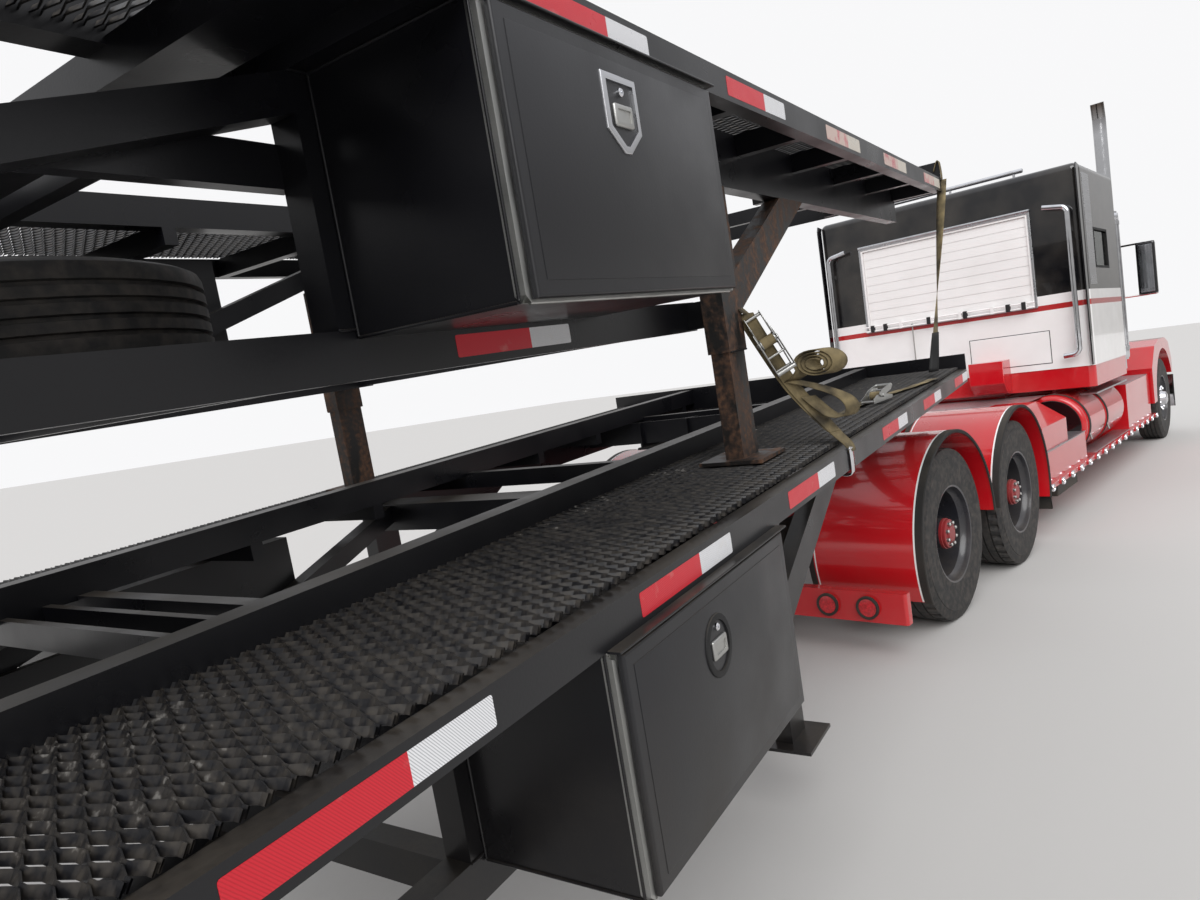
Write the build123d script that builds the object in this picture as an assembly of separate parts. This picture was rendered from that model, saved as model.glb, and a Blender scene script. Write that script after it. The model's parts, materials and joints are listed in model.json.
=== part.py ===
from build123d import *
import math
import os

# Car transporter truck: a long-nosed sleeper tractor and a two-level wedge
# semi-trailer, hinged at the kingpin.  Millimetres, +X forward along the
# tractor, +Y left, +Z up, ground at z = 0.  The tractor is laid out from the
# kingpin axis, which stands over its rear drive axle.

# Driving dimensions of the whole rig
OVERALL_WIDTH = 2590.0
TRAILER_LENGTH = 16150.0
TRAILER_YAW = 9.8
WEDGE_ANGLE = 2.6
DECK_HEIGHT = 1455.0
DECK_GAP = 1160.0
UPPER_SETBACK = 70.0
NOSE_OVERHANG = 250.0
UPPER_NOSE = 150.0

# Tractor running gear
TYRE_RADIUS = 515.0
TYRE_WIDTH = 270.0
RIM_RADIUS = 286.0
DUAL_OUTER_FACE = 1235.0
DUAL_SPACING = 335.0
TANDEM_SPACING = 1320.0
STEER_OUTER_FACE = 1205.0
KINGPIN_OFFSET = 850.0
SPINDLE_RADIUS = 38.0
RUNNING_FIT = 0.3

# Tractor frame
RAIL_OUTER = 432.0
RAIL_FLANGE = 90.0
RAIL_WALL = 9.0
RAIL_BOTTOM = 720.0
RAIL_TOP = 990.0
FRAME_TAIL = -780.0

# Cab, sleeper and nose
WALL = 40.0
SLEEPER_REAR = 3750.0
SLEEPER_FRONT = 5250.0
SLEEPER_HALF = 1275.0
SLEEPER_TOP = 3090.0
SLEEPER_FLOOR = 1235.0
SKIRT_DEPTH = 195.0
CAB_REAR = SLEEPER_FRONT + 30
CAB_HALF = 1030.0
CAB_FLOOR = 1150.0
CAB_LENGTH = 1480.0
NOSE_LENGTH = 1680.0
FRONT_OVERHANG = 670.0
COWL_X = CAB_REAR + CAB_LENGTH
COWL_Z = 1850.0
SCREEN_TOP_X = COWL_X - 170
CAB_ROOF = 2700.0
SCREEN_TOP_Z = CAB_ROOF - 160
GRILLE_X = COWL_X + NOSE_LENGTH
FRAME_FRONT = GRILLE_X - 140
GRILLE_BOTTOM = 800.0
DOOR_GAP = 6.0
DOOR_REAR = CAB_REAR + 240
DOOR_FRONT = COWL_X - 200
DOOR_SILL = CAB_FLOOR + WALL
DOOR_TOP = CAB_ROOF - 230

# Trailer sections
RAIL_DEPTH = 81.0
SIDE_RAIL = 50.0
RUNWAY_INNER = 647.5
UPSTAND = 83.0
INNER_RAIL = 75.0
MESH_TOP = 24.0
MESH_BOTTOM = -6.0
RAIL_FOOT = -20.0
TRUSS_OUT = 880.0
TRUSS_WIDTH = 75.0
CHORD_DROP = 670.0
CHORD_DEPTH = 100.0
LEG_POSITION = -2610.0
LEG_HALF = 995.0
POST_FIRST = -4130.0
POST_SIZE = 50.0
TIE_PITCH = 600.0
NECK_DROP = 200.0
BOX_REAR = -4110.0
BOX_FRONT = -3215.0
BOX_DROP = 588.0
WEDGE_END = -9600.0
AXLE_POSITIONS = (-11000.0, -12300.0)
LEVEL_END = -13400.0
TAIL_HEIGHT = 640.0
TRAILER_TYRE_RADIUS = 398.0
TRAILER_TYRE_WIDTH = 205.0
TRAILER_RIM_RADIUS = 222.0
TRAILER_OUTER_FACE = 1230.0
TRAILER_DUAL_SPACING = 245.0
RAMP_LENGTH = 1480.0

TRAILER_HALF = OVERALL_WIDTH / 2
TRAILER_TAIL = NOSE_OVERHANG - TRAILER_LENGTH
FRONT_DRIVE_X = TANDEM_SPACING
STEER_X = GRILLE_X - FRONT_OVERHANG
RUNWAY_RAIL_OUT = RUNWAY_INNER + INNER_RAIL / 2
RUNWAY_RAIL_IN = RUNWAY_INNER - INNER_RAIL / 2
MESH_OUT = TRAILER_HALF - SIDE_RAIL
TRUSS_IN = TRUSS_OUT - TRUSS_WIDTH
POSTS = tuple(POST_FIRST - 3 * TIE_PITCH * k for k in range(3))
POST_LAST = POST_FIRST - 9 * TIE_PITCH


def block(x0, x1, y0, y1, z0, z1):
    """A box between two corners."""
    centre = Pos((x0 + x1) / 2, (y0 + y1) / 2, (z0 + z1) / 2)
    return centre * Box(abs(x1 - x0), abs(y1 - y0), abs(z1 - z0))


def side_plate(outline, y0, y1):
    """An outline in the XZ plane, given thickness from y0 to y1."""
    plane = Plane(origin=(0, y1, 0), x_dir=(1, 0, 0), z_dir=(0, -1, 0))
    return extrude(plane * make_face(Polyline(*outline, close=True)), amount=y1 - y0)


def plan_plate(outline, z0, z1):
    """An outline in the XY plane, given thickness from z0 to z1."""
    plane = Plane(origin=(0, 0, z0))
    return extrude(plane * make_face(Polyline(*outline, close=True)), amount=z1 - z0)


def section_face(x, half_bottom, half_top, z0, z1, corner):
    """A cross-section at x: a trapezium with its two top corners rounded."""
    plane = Plane(origin=(x, 0, 0), x_dir=(0, 1, 0), z_dir=(1, 0, 0))
    points = ((-half_bottom, z0), (half_bottom, z0), (half_top, z1), (-half_top, z1))
    flat = make_face(Polyline(*points, close=True))
    top = flat.vertices().sort_by(Axis.Y)[-2:]
    return plane * fillet(top, corner)


def rod_y(x, z, y0, y1, radius):
    """A round bar across the vehicle."""
    return Pos(x, (y0 + y1) / 2, z) * Rot(90, 0, 0) * Cylinder(radius, abs(y1 - y0))


def rod_x(y, z, x0, x1, radius):
    """A round bar along the vehicle."""
    return Pos((x0 + x1) / 2, y, z) * Rot(0, 90, 0) * Cylinder(radius, abs(x1 - x0))


def rod_z(x, y, z0, z1, radius):
    """A round upright."""
    return Pos(x, y, (z0 + z1) / 2) * Cylinder(radius, z1 - z0)


def joined(*pieces):
    """One solid from pieces that touch or overlap."""
    first, rest = pieces[0], pieces[1:]
    return first + list(rest)


def mirrored(piece):
    """The same piece on the other side of the vehicle."""
    return mirror(piece, about=Plane.XZ)


def both(piece):
    """A left-hand piece and its right-hand twin, as two solids."""
    return Compound([*piece.solids(), *mirrored(piece).solids()])


def group(*pieces):
    """Solids that share a node and do not touch."""
    return Compound([solid for piece in pieces for solid in piece.solids()])


def turned(profile, x, z, side):
    """A wheel part turned about its axle from (distance out, radius) points."""
    plane = Plane(origin=(x, 0, z), x_dir=(0, side, 0), z_dir=(1, 0, 0))
    face = plane * make_face(Polyline(*profile, close=True))
    return revolve(face, axis=Axis((x, 0, z), (0, 1, 0)))


def tyre_profile(outer, width, radius, rim):
    """Tyre section: bead, bulged side wall, shoulder and flat tread."""
    inner = outer - width
    shoulder = radius * 0.04
    wall = (radius - rim) * 0.5
    return (
        (outer - 22, rim), (outer, rim + wall), (outer - 10, radius - shoulder * 1.4),
        (outer - 34, radius), (inner + 34, radius), (inner + 10, radius - shoulder * 1.4),
        (inner, rim + wall), (inner + 22, rim),
    )


# Wheels.  A drive wheel is two tyres on two dished steel discs that meet
# back to back; its hub turns on the axle end.

DISC_PLANE = DUAL_OUTER_FACE - TYRE_WIDTH / 2 - DUAL_SPACING / 2
HUB_RADIUS = 140.0
HUB_END = DUAL_OUTER_FACE - 20.0
AXLE_STUB_END = HUB_END - 60.0


def dual_wheel(x, side):
    r = TYRE_RADIUS
    outer = turned(tyre_profile(DUAL_OUTER_FACE, TYRE_WIDTH, r, RIM_RADIUS), x, r, side)
    inner = turned(
        tyre_profile(DUAL_OUTER_FACE - DUAL_SPACING, TYRE_WIDTH, r, RIM_RADIUS), x, r, side)
    rim_out = DUAL_OUTER_FACE - 8
    rim_in = DUAL_OUTER_FACE - DUAL_SPACING - TYRE_WIDTH + 8
    bore = SPINDLE_RADIUS + RUNNING_FIT
    barrel = turned((
        (rim_out, RIM_RADIUS - 14), (rim_out, RIM_RADIUS + 12), (rim_out - 12, RIM_RADIUS + 1),
        (rim_in + 12, RIM_RADIUS + 1), (rim_in, RIM_RADIUS + 12), (rim_in, RIM_RADIUS - 14),
    ), x, r, side)
    disc = turned((
        (DISC_PLANE - 14, bore), (DISC_PLANE - 14, 190), (DISC_PLANE - 6, RIM_RADIUS - 6),
        (DISC_PLANE + 6, RIM_RADIUS - 6), (DISC_PLANE + 14, 190), (DISC_PLANE + 14, HUB_RADIUS),
        (DISC_PLANE + 60, HUB_RADIUS - 20), (DISC_PLANE + 75, 95), (HUB_END - 15, 85),
        (HUB_END, 60), (HUB_END, 1), (AXLE_STUB_END + 6, 1), (AXLE_STUB_END + 6, bore),
    ), x, r, side)
    return joined(outer, inner, barrel, disc)


STEER_DISC = STEER_OUTER_FACE - 70.0
STEER_HUB_END = STEER_OUTER_FACE + 35.0
STEER_STUB_END = STEER_HUB_END - 80.0


def steer_wheel(side):
    r = TYRE_RADIUS
    tyre = turned(tyre_profile(STEER_OUTER_FACE, TYRE_WIDTH, r, RIM_RADIUS), STEER_X, r, side)
    rim_out = STEER_OUTER_FACE - 8
    rim_in = STEER_OUTER_FACE - TYRE_WIDTH + 8
    bore = SPINDLE_RADIUS + RUNNING_FIT
    barrel = turned((
        (rim_out, RIM_RADIUS - 14), (rim_out, RIM_RADIUS + 12), (rim_out - 12, RIM_RADIUS + 1),
        (rim_in + 12, RIM_RADIUS + 1), (rim_in, RIM_RADIUS + 12), (rim_in, RIM_RADIUS - 14),
    ), STEER_X, r, side)
    disc = turned((
        (STEER_DISC - 70, bore), (STEER_DISC - 70, 100), (STEER_DISC - 10, 150),
        (STEER_DISC - 30, RIM_RADIUS - 8), (STEER_DISC - 18, RIM_RADIUS - 8),
        (STEER_DISC + 6, 160), (STEER_DISC + 20, 110), (STEER_HUB_END - 15, 90),
        (STEER_HUB_END, 60), (STEER_HUB_END, 1), (STEER_STUB_END + 6, 1), (STEER_STUB_END + 6, bore),
    ), STEER_X, r, side)
    return joined(tyre, barrel, disc)


TRAILER_DISC = TRAILER_OUTER_FACE - TRAILER_TYRE_WIDTH / 2 - TRAILER_DUAL_SPACING / 2
TRAILER_HUB_END = TRAILER_OUTER_FACE - 30.0
TRAILER_STUB_END = TRAILER_HUB_END - 50.0
TRAILER_SPINDLE = 32.0


def trailer_tyre(outer, x, z, side):
    outline = tyre_profile(outer, TRAILER_TYRE_WIDTH, TRAILER_TYRE_RADIUS, TRAILER_RIM_RADIUS)
    return turned(outline, x, z, side)


def trailer_wheel(x, side):
    z = TRAILER_TYRE_RADIUS
    rim = TRAILER_RIM_RADIUS
    outer = trailer_tyre(TRAILER_OUTER_FACE, x, z, side)
    inner = trailer_tyre(TRAILER_OUTER_FACE - TRAILER_DUAL_SPACING, x, z, side)
    rim_out = TRAILER_OUTER_FACE - 8
    rim_in = TRAILER_OUTER_FACE - TRAILER_DUAL_SPACING - TRAILER_TYRE_WIDTH + 8
    bore = TRAILER_SPINDLE + RUNNING_FIT
    barrel = turned((
        (rim_out, rim - 10), (rim_out, rim + 10), (rim_out - 10, rim + 1),
        (rim_in + 10, rim + 1), (rim_in, rim + 10), (rim_in, rim - 10),
    ), x, z, side)
    disc = turned((
        (TRAILER_DISC - 12, bore), (TRAILER_DISC - 12, 150), (TRAILER_DISC - 5, rim - 5),
        (TRAILER_DISC + 5, rim - 5), (TRAILER_DISC + 12, 150), (TRAILER_DISC + 12, 105),
        (TRAILER_DISC + 60, 80), (TRAILER_HUB_END - 10, 70), (TRAILER_HUB_END, 50),
        (TRAILER_HUB_END, 1), (TRAILER_STUB_END + 6, 1), (TRAILER_STUB_END + 6, bore),
    ), x, z, side)
    return joined(outer, inner, barrel, disc)


# Tractor frame: two channel rails, open inwards, tied by crossmembers.

CROSSMEMBERS = (-740.0, 660.0, 2400.0, 3900.0, SLEEPER_FRONT + 50, COWL_X - 340, FRAME_FRONT - 120)


def tractor_frame():
    rail = block(FRAME_TAIL, FRAME_FRONT, RAIL_OUTER - RAIL_FLANGE, RAIL_OUTER, RAIL_BOTTOM, RAIL_TOP)
    hollow = block(
        FRAME_TAIL, FRAME_FRONT, RAIL_OUTER - RAIL_FLANGE, RAIL_OUTER - RAIL_WALL,
        RAIL_BOTTOM + RAIL_WALL, RAIL_TOP - RAIL_WALL)
    rail = rail - hollow
    inside = RAIL_OUTER - RAIL_WALL
    ties = [
        block(x - 35, x + 35, -inside, inside, RAIL_BOTTOM + RAIL_WALL, RAIL_TOP - RAIL_WALL)
        for x in CROSSMEMBERS
    ]
    return joined(rail, mirrored(rail), *ties)


# Engine: one plain block between the rails, with the radiator ahead of it.

ENGINE_REAR = COWL_X + 40
ENGINE_FRONT = FRAME_FRONT - 260


def engine_block():
    half = RAIL_OUTER - RAIL_FLANGE
    block_body = block(ENGINE_REAR, ENGINE_FRONT, -half, half, RAIL_BOTTOM + 30, 1560)
    radiator = block(FRAME_FRONT - 75, FRAME_FRONT - 15, 2 - RAIL_OUTER, RAIL_OUTER - 2, RAIL_TOP, 1620)
    return group(block_body, radiator)


# Fifth wheel: a slotted horseshoe plate on two side brackets.

FIFTH_TOP = 1222.0
FIFTH_THICK = 38.0
KINGPIN_RADIUS = 25.4
THROAT = 30.0


def fifth_wheel():
    outline = (
        (440, -200), (440, 200), (330, 420), (-120, 457), (-330, 440), (-540, 170),
        (-540, 75), (-60, THROAT), (-60, -THROAT), (-540, -75), (-540, -170),
        (-330, -440), (-120, -457), (330, -420),
    )
    plate = plan_plate(outline, FIFTH_TOP - FIFTH_THICK, FIFTH_TOP)
    plate = plate - rod_z(0, 0, FIFTH_TOP - 100, FIFTH_TOP + 10, THROAT)
    foot_out = RAIL_OUTER
    bracket = side_plate(
        ((-420, RAIL_TOP), (420, RAIL_TOP), (420, RAIL_TOP + 30), (150, FIFTH_TOP - FIFTH_THICK),
         (-150, FIFTH_TOP - FIFTH_THICK), (-420, RAIL_TOP + 30)),
        foot_out - 80, foot_out - 50)
    foot = block(-420, 420, RAIL_OUTER - RAIL_FLANGE, foot_out, RAIL_TOP, RAIL_TOP + 20)
    return joined(plate, bracket, foot, mirrored(bracket), mirrored(foot))


# Drive axles: housing, round centre, and the two seats under the rails.

def drive_axle(x):
    z = TYRE_RADIUS
    half = DUAL_OUTER_FACE - DUAL_SPACING - TYRE_WIDTH - 30
    tube = rod_y(x, z, -half, half, 75)
    stub = rod_y(x, z, -AXLE_STUB_END, AXLE_STUB_END, SPINDLE_RADIUS)
    centre = Pos(x, 0, z) * Sphere(185)
    nose = rod_x(0, z, x, x + 330, 90)
    seat_out = RAIL_OUTER
    seat = side_plate(
        ((x - 180, RAIL_BOTTOM), (x - 60, z - 60), (x + 60, z - 60), (x + 180, RAIL_BOTTOM)),
        seat_out - RAIL_FLANGE, seat_out)
    return joined(tube, stub, centre, nose, seat, mirrored(seat))


# Front axle: dropped beam with an eye at each end, on two leaf springs.

EYE_RADIUS = 42.0
PIN_RADIUS = 20.0
BEAM_BOTTOM = 395.0
BEAM_TOP = 480.0


def front_axle():
    x = STEER_X
    eye_in = KINGPIN_OFFSET - EYE_RADIUS
    beam = block(x - 40, x + 40, -620, 620, BEAM_BOTTOM, BEAM_TOP)
    arm = plan_plate(((x - 40, 600), (x - 30, eye_in + 10), (x + 30, eye_in + 10), (x + 40, 600)),
                     BEAM_BOTTOM + 45, BEAM_TOP + 75)
    rise = block(x - 40, x + 40, 560, 640, BEAM_BOTTOM, BEAM_TOP + 75)
    eye = rod_z(x, KINGPIN_OFFSET, BEAM_BOTTOM + 45, BEAM_TOP + 75, EYE_RADIUS)
    eye = eye - rod_z(x, KINGPIN_OFFSET, BEAM_BOTTOM, BEAM_TOP + 100, PIN_RADIUS + RUNNING_FIT)
    spring = side_plate(
        ((x - 640, RAIL_BOTTOM), (x - 640, RAIL_BOTTOM - 40), (x - 120, BEAM_TOP),
         (x + 120, BEAM_TOP), (x + 480, RAIL_BOTTOM - 40), (x + 480, RAIL_BOTTOM),
         (x + 400, RAIL_BOTTOM), (x + 110, BEAM_TOP + 60), (x - 110, BEAM_TOP + 60),
         (x - 560, RAIL_BOTTOM)),
        RAIL_OUTER - RAIL_FLANGE, RAIL_OUTER)
    half = [arm, rise, eye, spring]
    return joined(beam, *half, *[mirrored(piece) for piece in half])


def knuckle(side):
    """Fork over and under the beam's eye, its pin, and the wheel stub."""
    x, y = STEER_X, KINGPIN_OFFSET
    low, high = BEAM_BOTTOM + 45, BEAM_TOP + 75
    gap = 6.0
    clear = EYE_RADIUS + 12
    top = block(x - 38, x + 38, y - 38, y + clear + 40, high + gap, high + gap + 34)
    bottom = block(x - 38, x + 38, y - 38, y + clear + 40, low - gap - 34, low - gap)
    back = block(x - 60, x + 60, y + clear, y + clear + 40, low - gap - 34, high + gap + 34)
    pin = rod_z(x, y, low - gap - 34, high + gap + 34, PIN_RADIUS)
    stub = rod_y(x, TYRE_RADIUS, y + clear + 20, STEER_STUB_END, SPINDLE_RADIUS)
    arm = plan_plate(((x - 38, y + clear), (x - 230, y - 70), (x - 230, y - 20), (x - 60, y + clear + 40)),
                     low - gap - 34, low - gap - 10)
    piece = joined(top, bottom, back, pin, stub, arm)
    return piece if side > 0 else mirrored(piece)


# Fenders: a full-round shell over each drive wheel, closed on its inner side
# by the bracket that carries it on the frame rail.

FENDER_RADIUS = 610.0
FENDER_THICK = 8.0
FENDER_INNER = 590.0
FENDER_OUTER = 1270.0


def fender_shell(x, start, end):
    """Ring sector about a wheel, from start to end degrees (0 is forward)."""
    z = TYRE_RADIUS
    steps = 14
    outline = []
    for ring in (FENDER_RADIUS + FENDER_THICK, FENDER_RADIUS):
        turn = range(steps + 1) if ring > FENDER_RADIUS else range(steps, -1, -1)
        for k in turn:
            angle = math.radians(start + (end - start) * k / steps)
            outline.append((x + ring * math.cos(angle), z + ring * math.sin(angle)))
    return side_plate(outline, FENDER_INNER, FENDER_OUTER)


def fender(x, start, end):
    shell = fender_shell(x, start, end)
    top = TYRE_RADIUS + FENDER_RADIUS
    stay = block(x - 40, x + 40, RAIL_OUTER, FENDER_INNER + 30, top - 12, top + 4)
    post = block(x - 40, x + 40, RAIL_OUTER, RAIL_OUTER + 12, RAIL_TOP - 90, top + 4)
    return joined(shell, stay, post)


def drive_fenders():
    rear = fender(0.0, 2.0, 204.0)
    front = fender(FRONT_DRIVE_X, -14.0, 178.0)
    return group(both(rear), both(front))


# Tail bar: a box beam on two arms behind the frame, with four lamps.

BAR_REAR = -800.0
BAR_FRONT = -730.0
BAR_BOTTOM = 200.0
BAR_TOP = 370.0
BAR_HALF = 1235.0
TAIL_LAMPS = (786.0, 1022.0)


def tail_bar():
    beam = block(BAR_REAR, BAR_FRONT, -BAR_HALF, BAR_HALF, BAR_BOTTOM, BAR_TOP)
    beam = fillet(beam.edges().filter_by(Axis.Z), 18)
    arm = block(FRAME_TAIL, BAR_FRONT - 10, RAIL_OUTER - RAIL_FLANGE, RAIL_OUTER - 10, BAR_BOTTOM + 10,
                RAIL_BOTTOM)
    pieces = [arm, mirrored(arm)]
    for y in TAIL_LAMPS:
        lamp = rod_x(y, (BAR_BOTTOM + BAR_TOP) / 2, BAR_REAR - 12, BAR_REAR + 5, 62)
        pieces += [lamp, mirrored(lamp)]
    return joined(beam, *pieces)


# Fuel tanks with their straps and brackets, one each side.

TANK_RADIUS = 290.0
TANK_Y = 915.0
TANK_Z = 705.0
TANK_REAR = SLEEPER_REAR - 200
TANK_FRONT = SLEEPER_FRONT + 20


def fuel_tanks():
    barrel = rod_x(TANK_Y, TANK_Z, TANK_REAR, TANK_FRONT, TANK_RADIUS)
    barrel = fillet(barrel.edges().filter_by(GeomType.CIRCLE), 40)
    pieces = [barrel]
    for x in (TANK_REAR + 110, TANK_REAR + 850):
        strap = rod_x(TANK_Y, TANK_Z, x - 35, x + 35, TANK_RADIUS + 5)
        bracket = side_plate(
            ((x - 35, 520), (x + 35, 520), (x + 35, 960), (x - 35, 960)), RAIL_OUTER, TANK_Y - 200)
        pieces += [strap, bracket]
    crown = TANK_Z + TANK_RADIUS
    neck = rod_z(TANK_FRONT - 200, TANK_Y + 120, crown - 60, crown + 10, 45)
    pieces.append(neck)
    return both(joined(*pieces))


# Side boxes, running boards and their row of round lamps.

BOARD_REAR = 2060.0
BOARD_FRONT = COWL_X + 280
BOARD_INNER = 950.0
BOARD_OUTER = 1215.0
BOARD_BOTTOM = 365.0
BOARD_TOP = 405.0
BOARD_LAMPS = 16
REAR_BOX = (2200.0, 3530.0)
TREAD_Z = 655.0
STEP_BOX = (DOOR_REAR - 20, COWL_X + 100)


def side_steps():
    board = block(BOARD_REAR, BOARD_FRONT, BOARD_INNER, BOARD_OUTER, BOARD_BOTTOM, BOARD_TOP)
    pieces = [board]
    pitch = (BOARD_FRONT - BOARD_REAR - 200) / (BOARD_LAMPS - 1)
    for k in range(BOARD_LAMPS):
        x = BOARD_REAR + 100 + k * pitch
        pieces.append(rod_y(x, (BOARD_BOTTOM + BOARD_TOP) / 2, BOARD_OUTER - 5, BOARD_OUTER + 15, 26))
    rear0, rear1 = REAR_BOX
    pieces.append(block(rear0, rear1, 620, 1190, BOARD_TOP, TREAD_Z))
    cover = Plane.YZ * make_face(Polyline((620, TREAD_Z), (1180, TREAD_Z), (1180, 855),
                                          (965, 1010), (620, 1010),
                                          close=True))
    pieces.append(Pos(rear0, 0, 0) * extrude(cover, amount=760))
    pieces.append(block(rear0 + 60, rear1 - 60, RAIL_OUTER, 640, 560, 690))
    step0, step1 = STEP_BOX
    pieces.append(block(step0, step1, 620, 1190, BOARD_TOP, 900))
    pieces.append(block(step0 + 60, step1 - 60, RAIL_OUTER, 640, 600, 880))
    return both(joined(*pieces))


# Sleeper: hollow box body, with the rear hatch opening and side windows cut.

HATCH_HALF = 845.0
HATCH_BOTTOM = 1835.0
HATCH_TOP = 2735.0
PORT = (4150.0, 4700.0, 2150.0, 2500.0)
PASS_HALF = 420.0
PASS_TOP = CAB_ROOF - 250


def sleeper_shell():
    outer = block(SLEEPER_REAR, SLEEPER_FRONT, -SLEEPER_HALF, SLEEPER_HALF, SLEEPER_FLOOR, SLEEPER_TOP)
    outer = fillet(outer.edges().filter_by(Axis.Z), 70)
    outer = fillet(outer.faces().sort_by(Axis.Z)[-1].edges(), 60)
    inner = block(
        SLEEPER_REAR + WALL, SLEEPER_FRONT - WALL, -SLEEPER_HALF + WALL, SLEEPER_HALF - WALL,
        SLEEPER_FLOOR + WALL, SLEEPER_TOP - WALL)
    shell = outer - inner
    shell = shell - block(SLEEPER_REAR - 20, SLEEPER_REAR + WALL + 20, -HATCH_HALF, HATCH_HALF,
                          HATCH_BOTTOM, HATCH_TOP)
    x0, x1, z0, z1 = PORT
    shell = shell - block(x0, x1, -SLEEPER_HALF - 20, SLEEPER_HALF + 20, z0, z1)
    shell = shell - block(SLEEPER_FRONT - WALL - 20, SLEEPER_FRONT + 20, -PASS_HALF, PASS_HALF,
                          SLEEPER_FLOOR + WALL, PASS_TOP)
    boot = block(SLEEPER_FRONT - 5, CAB_REAR, -PASS_HALF - 40, PASS_HALF + 40, SLEEPER_FLOOR, PASS_TOP + 40)
    boot = boot - block(SLEEPER_FRONT - 10, CAB_REAR + 5, -PASS_HALF, PASS_HALF,
                        SLEEPER_FLOOR + WALL, PASS_TOP)
    skirt = SLEEPER_FLOOR - SKIRT_DEPTH
    base = block(SLEEPER_REAR + 6, SLEEPER_FRONT - 20, -SLEEPER_HALF + 6, SLEEPER_HALF - 6, skirt,
                 SLEEPER_FLOOR)
    base = fillet(base.edges().filter_by(Axis.Z), 64)
    locker = block(SLEEPER_REAR - 230, SLEEPER_REAR + 20, -550, -235, skirt + 20, SLEEPER_FLOOR + 140)
    locker = chamfer(locker.faces().sort_by(Axis.X)[0].edges().sort_by(Axis.Z)[0], 100)
    mount0 = block(SLEEPER_REAR + 150, SLEEPER_REAR + 350, -RAIL_OUTER, RAIL_OUTER, RAIL_TOP, skirt + 5)
    mount1 = block(SLEEPER_FRONT - 400, SLEEPER_FRONT - 200, -RAIL_OUTER, RAIL_OUTER, RAIL_TOP, skirt + 5)
    return joined(shell, boot, base, locker, mount0, mount1)


def sleeper_hatch():
    """Slatted panel with its frame, in the opening of the rear wall."""
    x0 = SLEEPER_REAR
    panel = block(x0 + 8, x0 + 26, -HATCH_HALF, HATCH_HALF, HATCH_BOTTOM, HATCH_TOP)
    pieces = [panel]
    slats = 9
    pitch = (HATCH_TOP - HATCH_BOTTOM - 80) / slats
    for k in range(slats):
        z = HATCH_BOTTOM + 40 + k * pitch
        pieces.append(block(x0 + 2, x0 + 10, -HATCH_HALF + 40, HATCH_HALF - 40, z + 4, z + pitch - 4))
    frame = block(x0 - 14, x0 + 10, -HATCH_HALF, HATCH_HALF, HATCH_BOTTOM, HATCH_TOP)
    frame = frame - block(x0 - 20, x0 + 20, -HATCH_HALF + 36, HATCH_HALF - 36,
                          HATCH_BOTTOM + 36, HATCH_TOP - 36)
    pieces.append(frame)
    rack_z = HATCH_BOTTOM + 10
    for dz in (0, 46):
        pieces.append(rod_y(x0 - 60, rack_z + dz, -HATCH_HALF + 10, HATCH_HALF - 10, 8))
    for k in range(6):
        y = -HATCH_HALF + 90 + k * (2 * HATCH_HALF - 180) / 5
        pieces.append(block(x0 - 70, x0 - 5, y - 14, y + 14, rack_z - 10, rack_z + 58))
    return joined(*pieces)


# Chrome standpipes, one at each rear corner of the sleeper.

PIPE_RADIUS = 24.0
PIPE_Y = 1175.0
PIPE_X = SLEEPER_REAR - 75.0


def standpipes():
    foot, top = 1360.0, 2700.0
    path = FilletPolyline((PIPE_X, PIPE_Y - 130, foot - 10), (PIPE_X, PIPE_Y, foot), (PIPE_X, PIPE_Y, top),
                          (PIPE_X, PIPE_Y - 200, top + 35), radius=60)
    start = Plane(origin=path @ 0, z_dir=path % 0)
    pieces = [sweep(start * Circle(PIPE_RADIUS), path=path)]
    for z in (1480.0, 2500.0):
        pieces.append(block(PIPE_X, SLEEPER_REAR, PIPE_Y - 12, PIPE_Y + 12, z - 20, z + 20))
    return both(joined(*pieces))


# Exhaust stacks at the front corners of the sleeper.

STACK_X = CAB_REAR + 90
STACK_Y = 1180.0
STACK_TOP = 3840.0
ELBOW_Z = 1080.0


def exhaust_stacks():
    muffler = rod_z(STACK_X, STACK_Y, 1180, 2740, 84)
    pipe = rod_z(STACK_X, STACK_Y, ELBOW_Z, STACK_TOP - 120, 62)
    tip = Pos(STACK_X, STACK_Y, STACK_TOP - 120) * Rot(0, -14, 0) * Pos(0, 0, 70) * Cylinder(62, 170)
    elbow = rod_y(STACK_X, ELBOW_Z, RAIL_OUTER + 60, STACK_Y, 60)
    drop = block(STACK_X - 50, STACK_X + 50, RAIL_OUTER, RAIL_OUTER + 80, 900, ELBOW_Z + 40)
    pieces = [muffler, pipe, tip, elbow, drop]
    return both(joined(*pieces))


# Cab: hollow, with split screen, door openings and the passage to the rear.

def cab_outline(inset):
    """Side outline of the cab, moved inwards by inset."""
    lean = (COWL_X - SCREEN_TOP_X) / (SCREEN_TOP_Z - COWL_Z)
    return (
        (CAB_REAR + inset, CAB_FLOOR + inset), (COWL_X - inset, CAB_FLOOR + inset),
        (COWL_X - inset, COWL_Z), (SCREEN_TOP_X - inset, SCREEN_TOP_Z - inset * lean),
        (SCREEN_TOP_X - 160, CAB_ROOF - 40 - inset), (SCREEN_TOP_X - 500, CAB_ROOF - inset),
        (CAB_REAR + 160, CAB_ROOF - 30 - inset), (CAB_REAR + inset, CAB_ROOF - 150),
    )


SCREEN_LOW = 70.0
SCREEN_HIGH = 70.0
SCREEN_POST = 30.0
SCREEN_SIDE = 925.0


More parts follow.
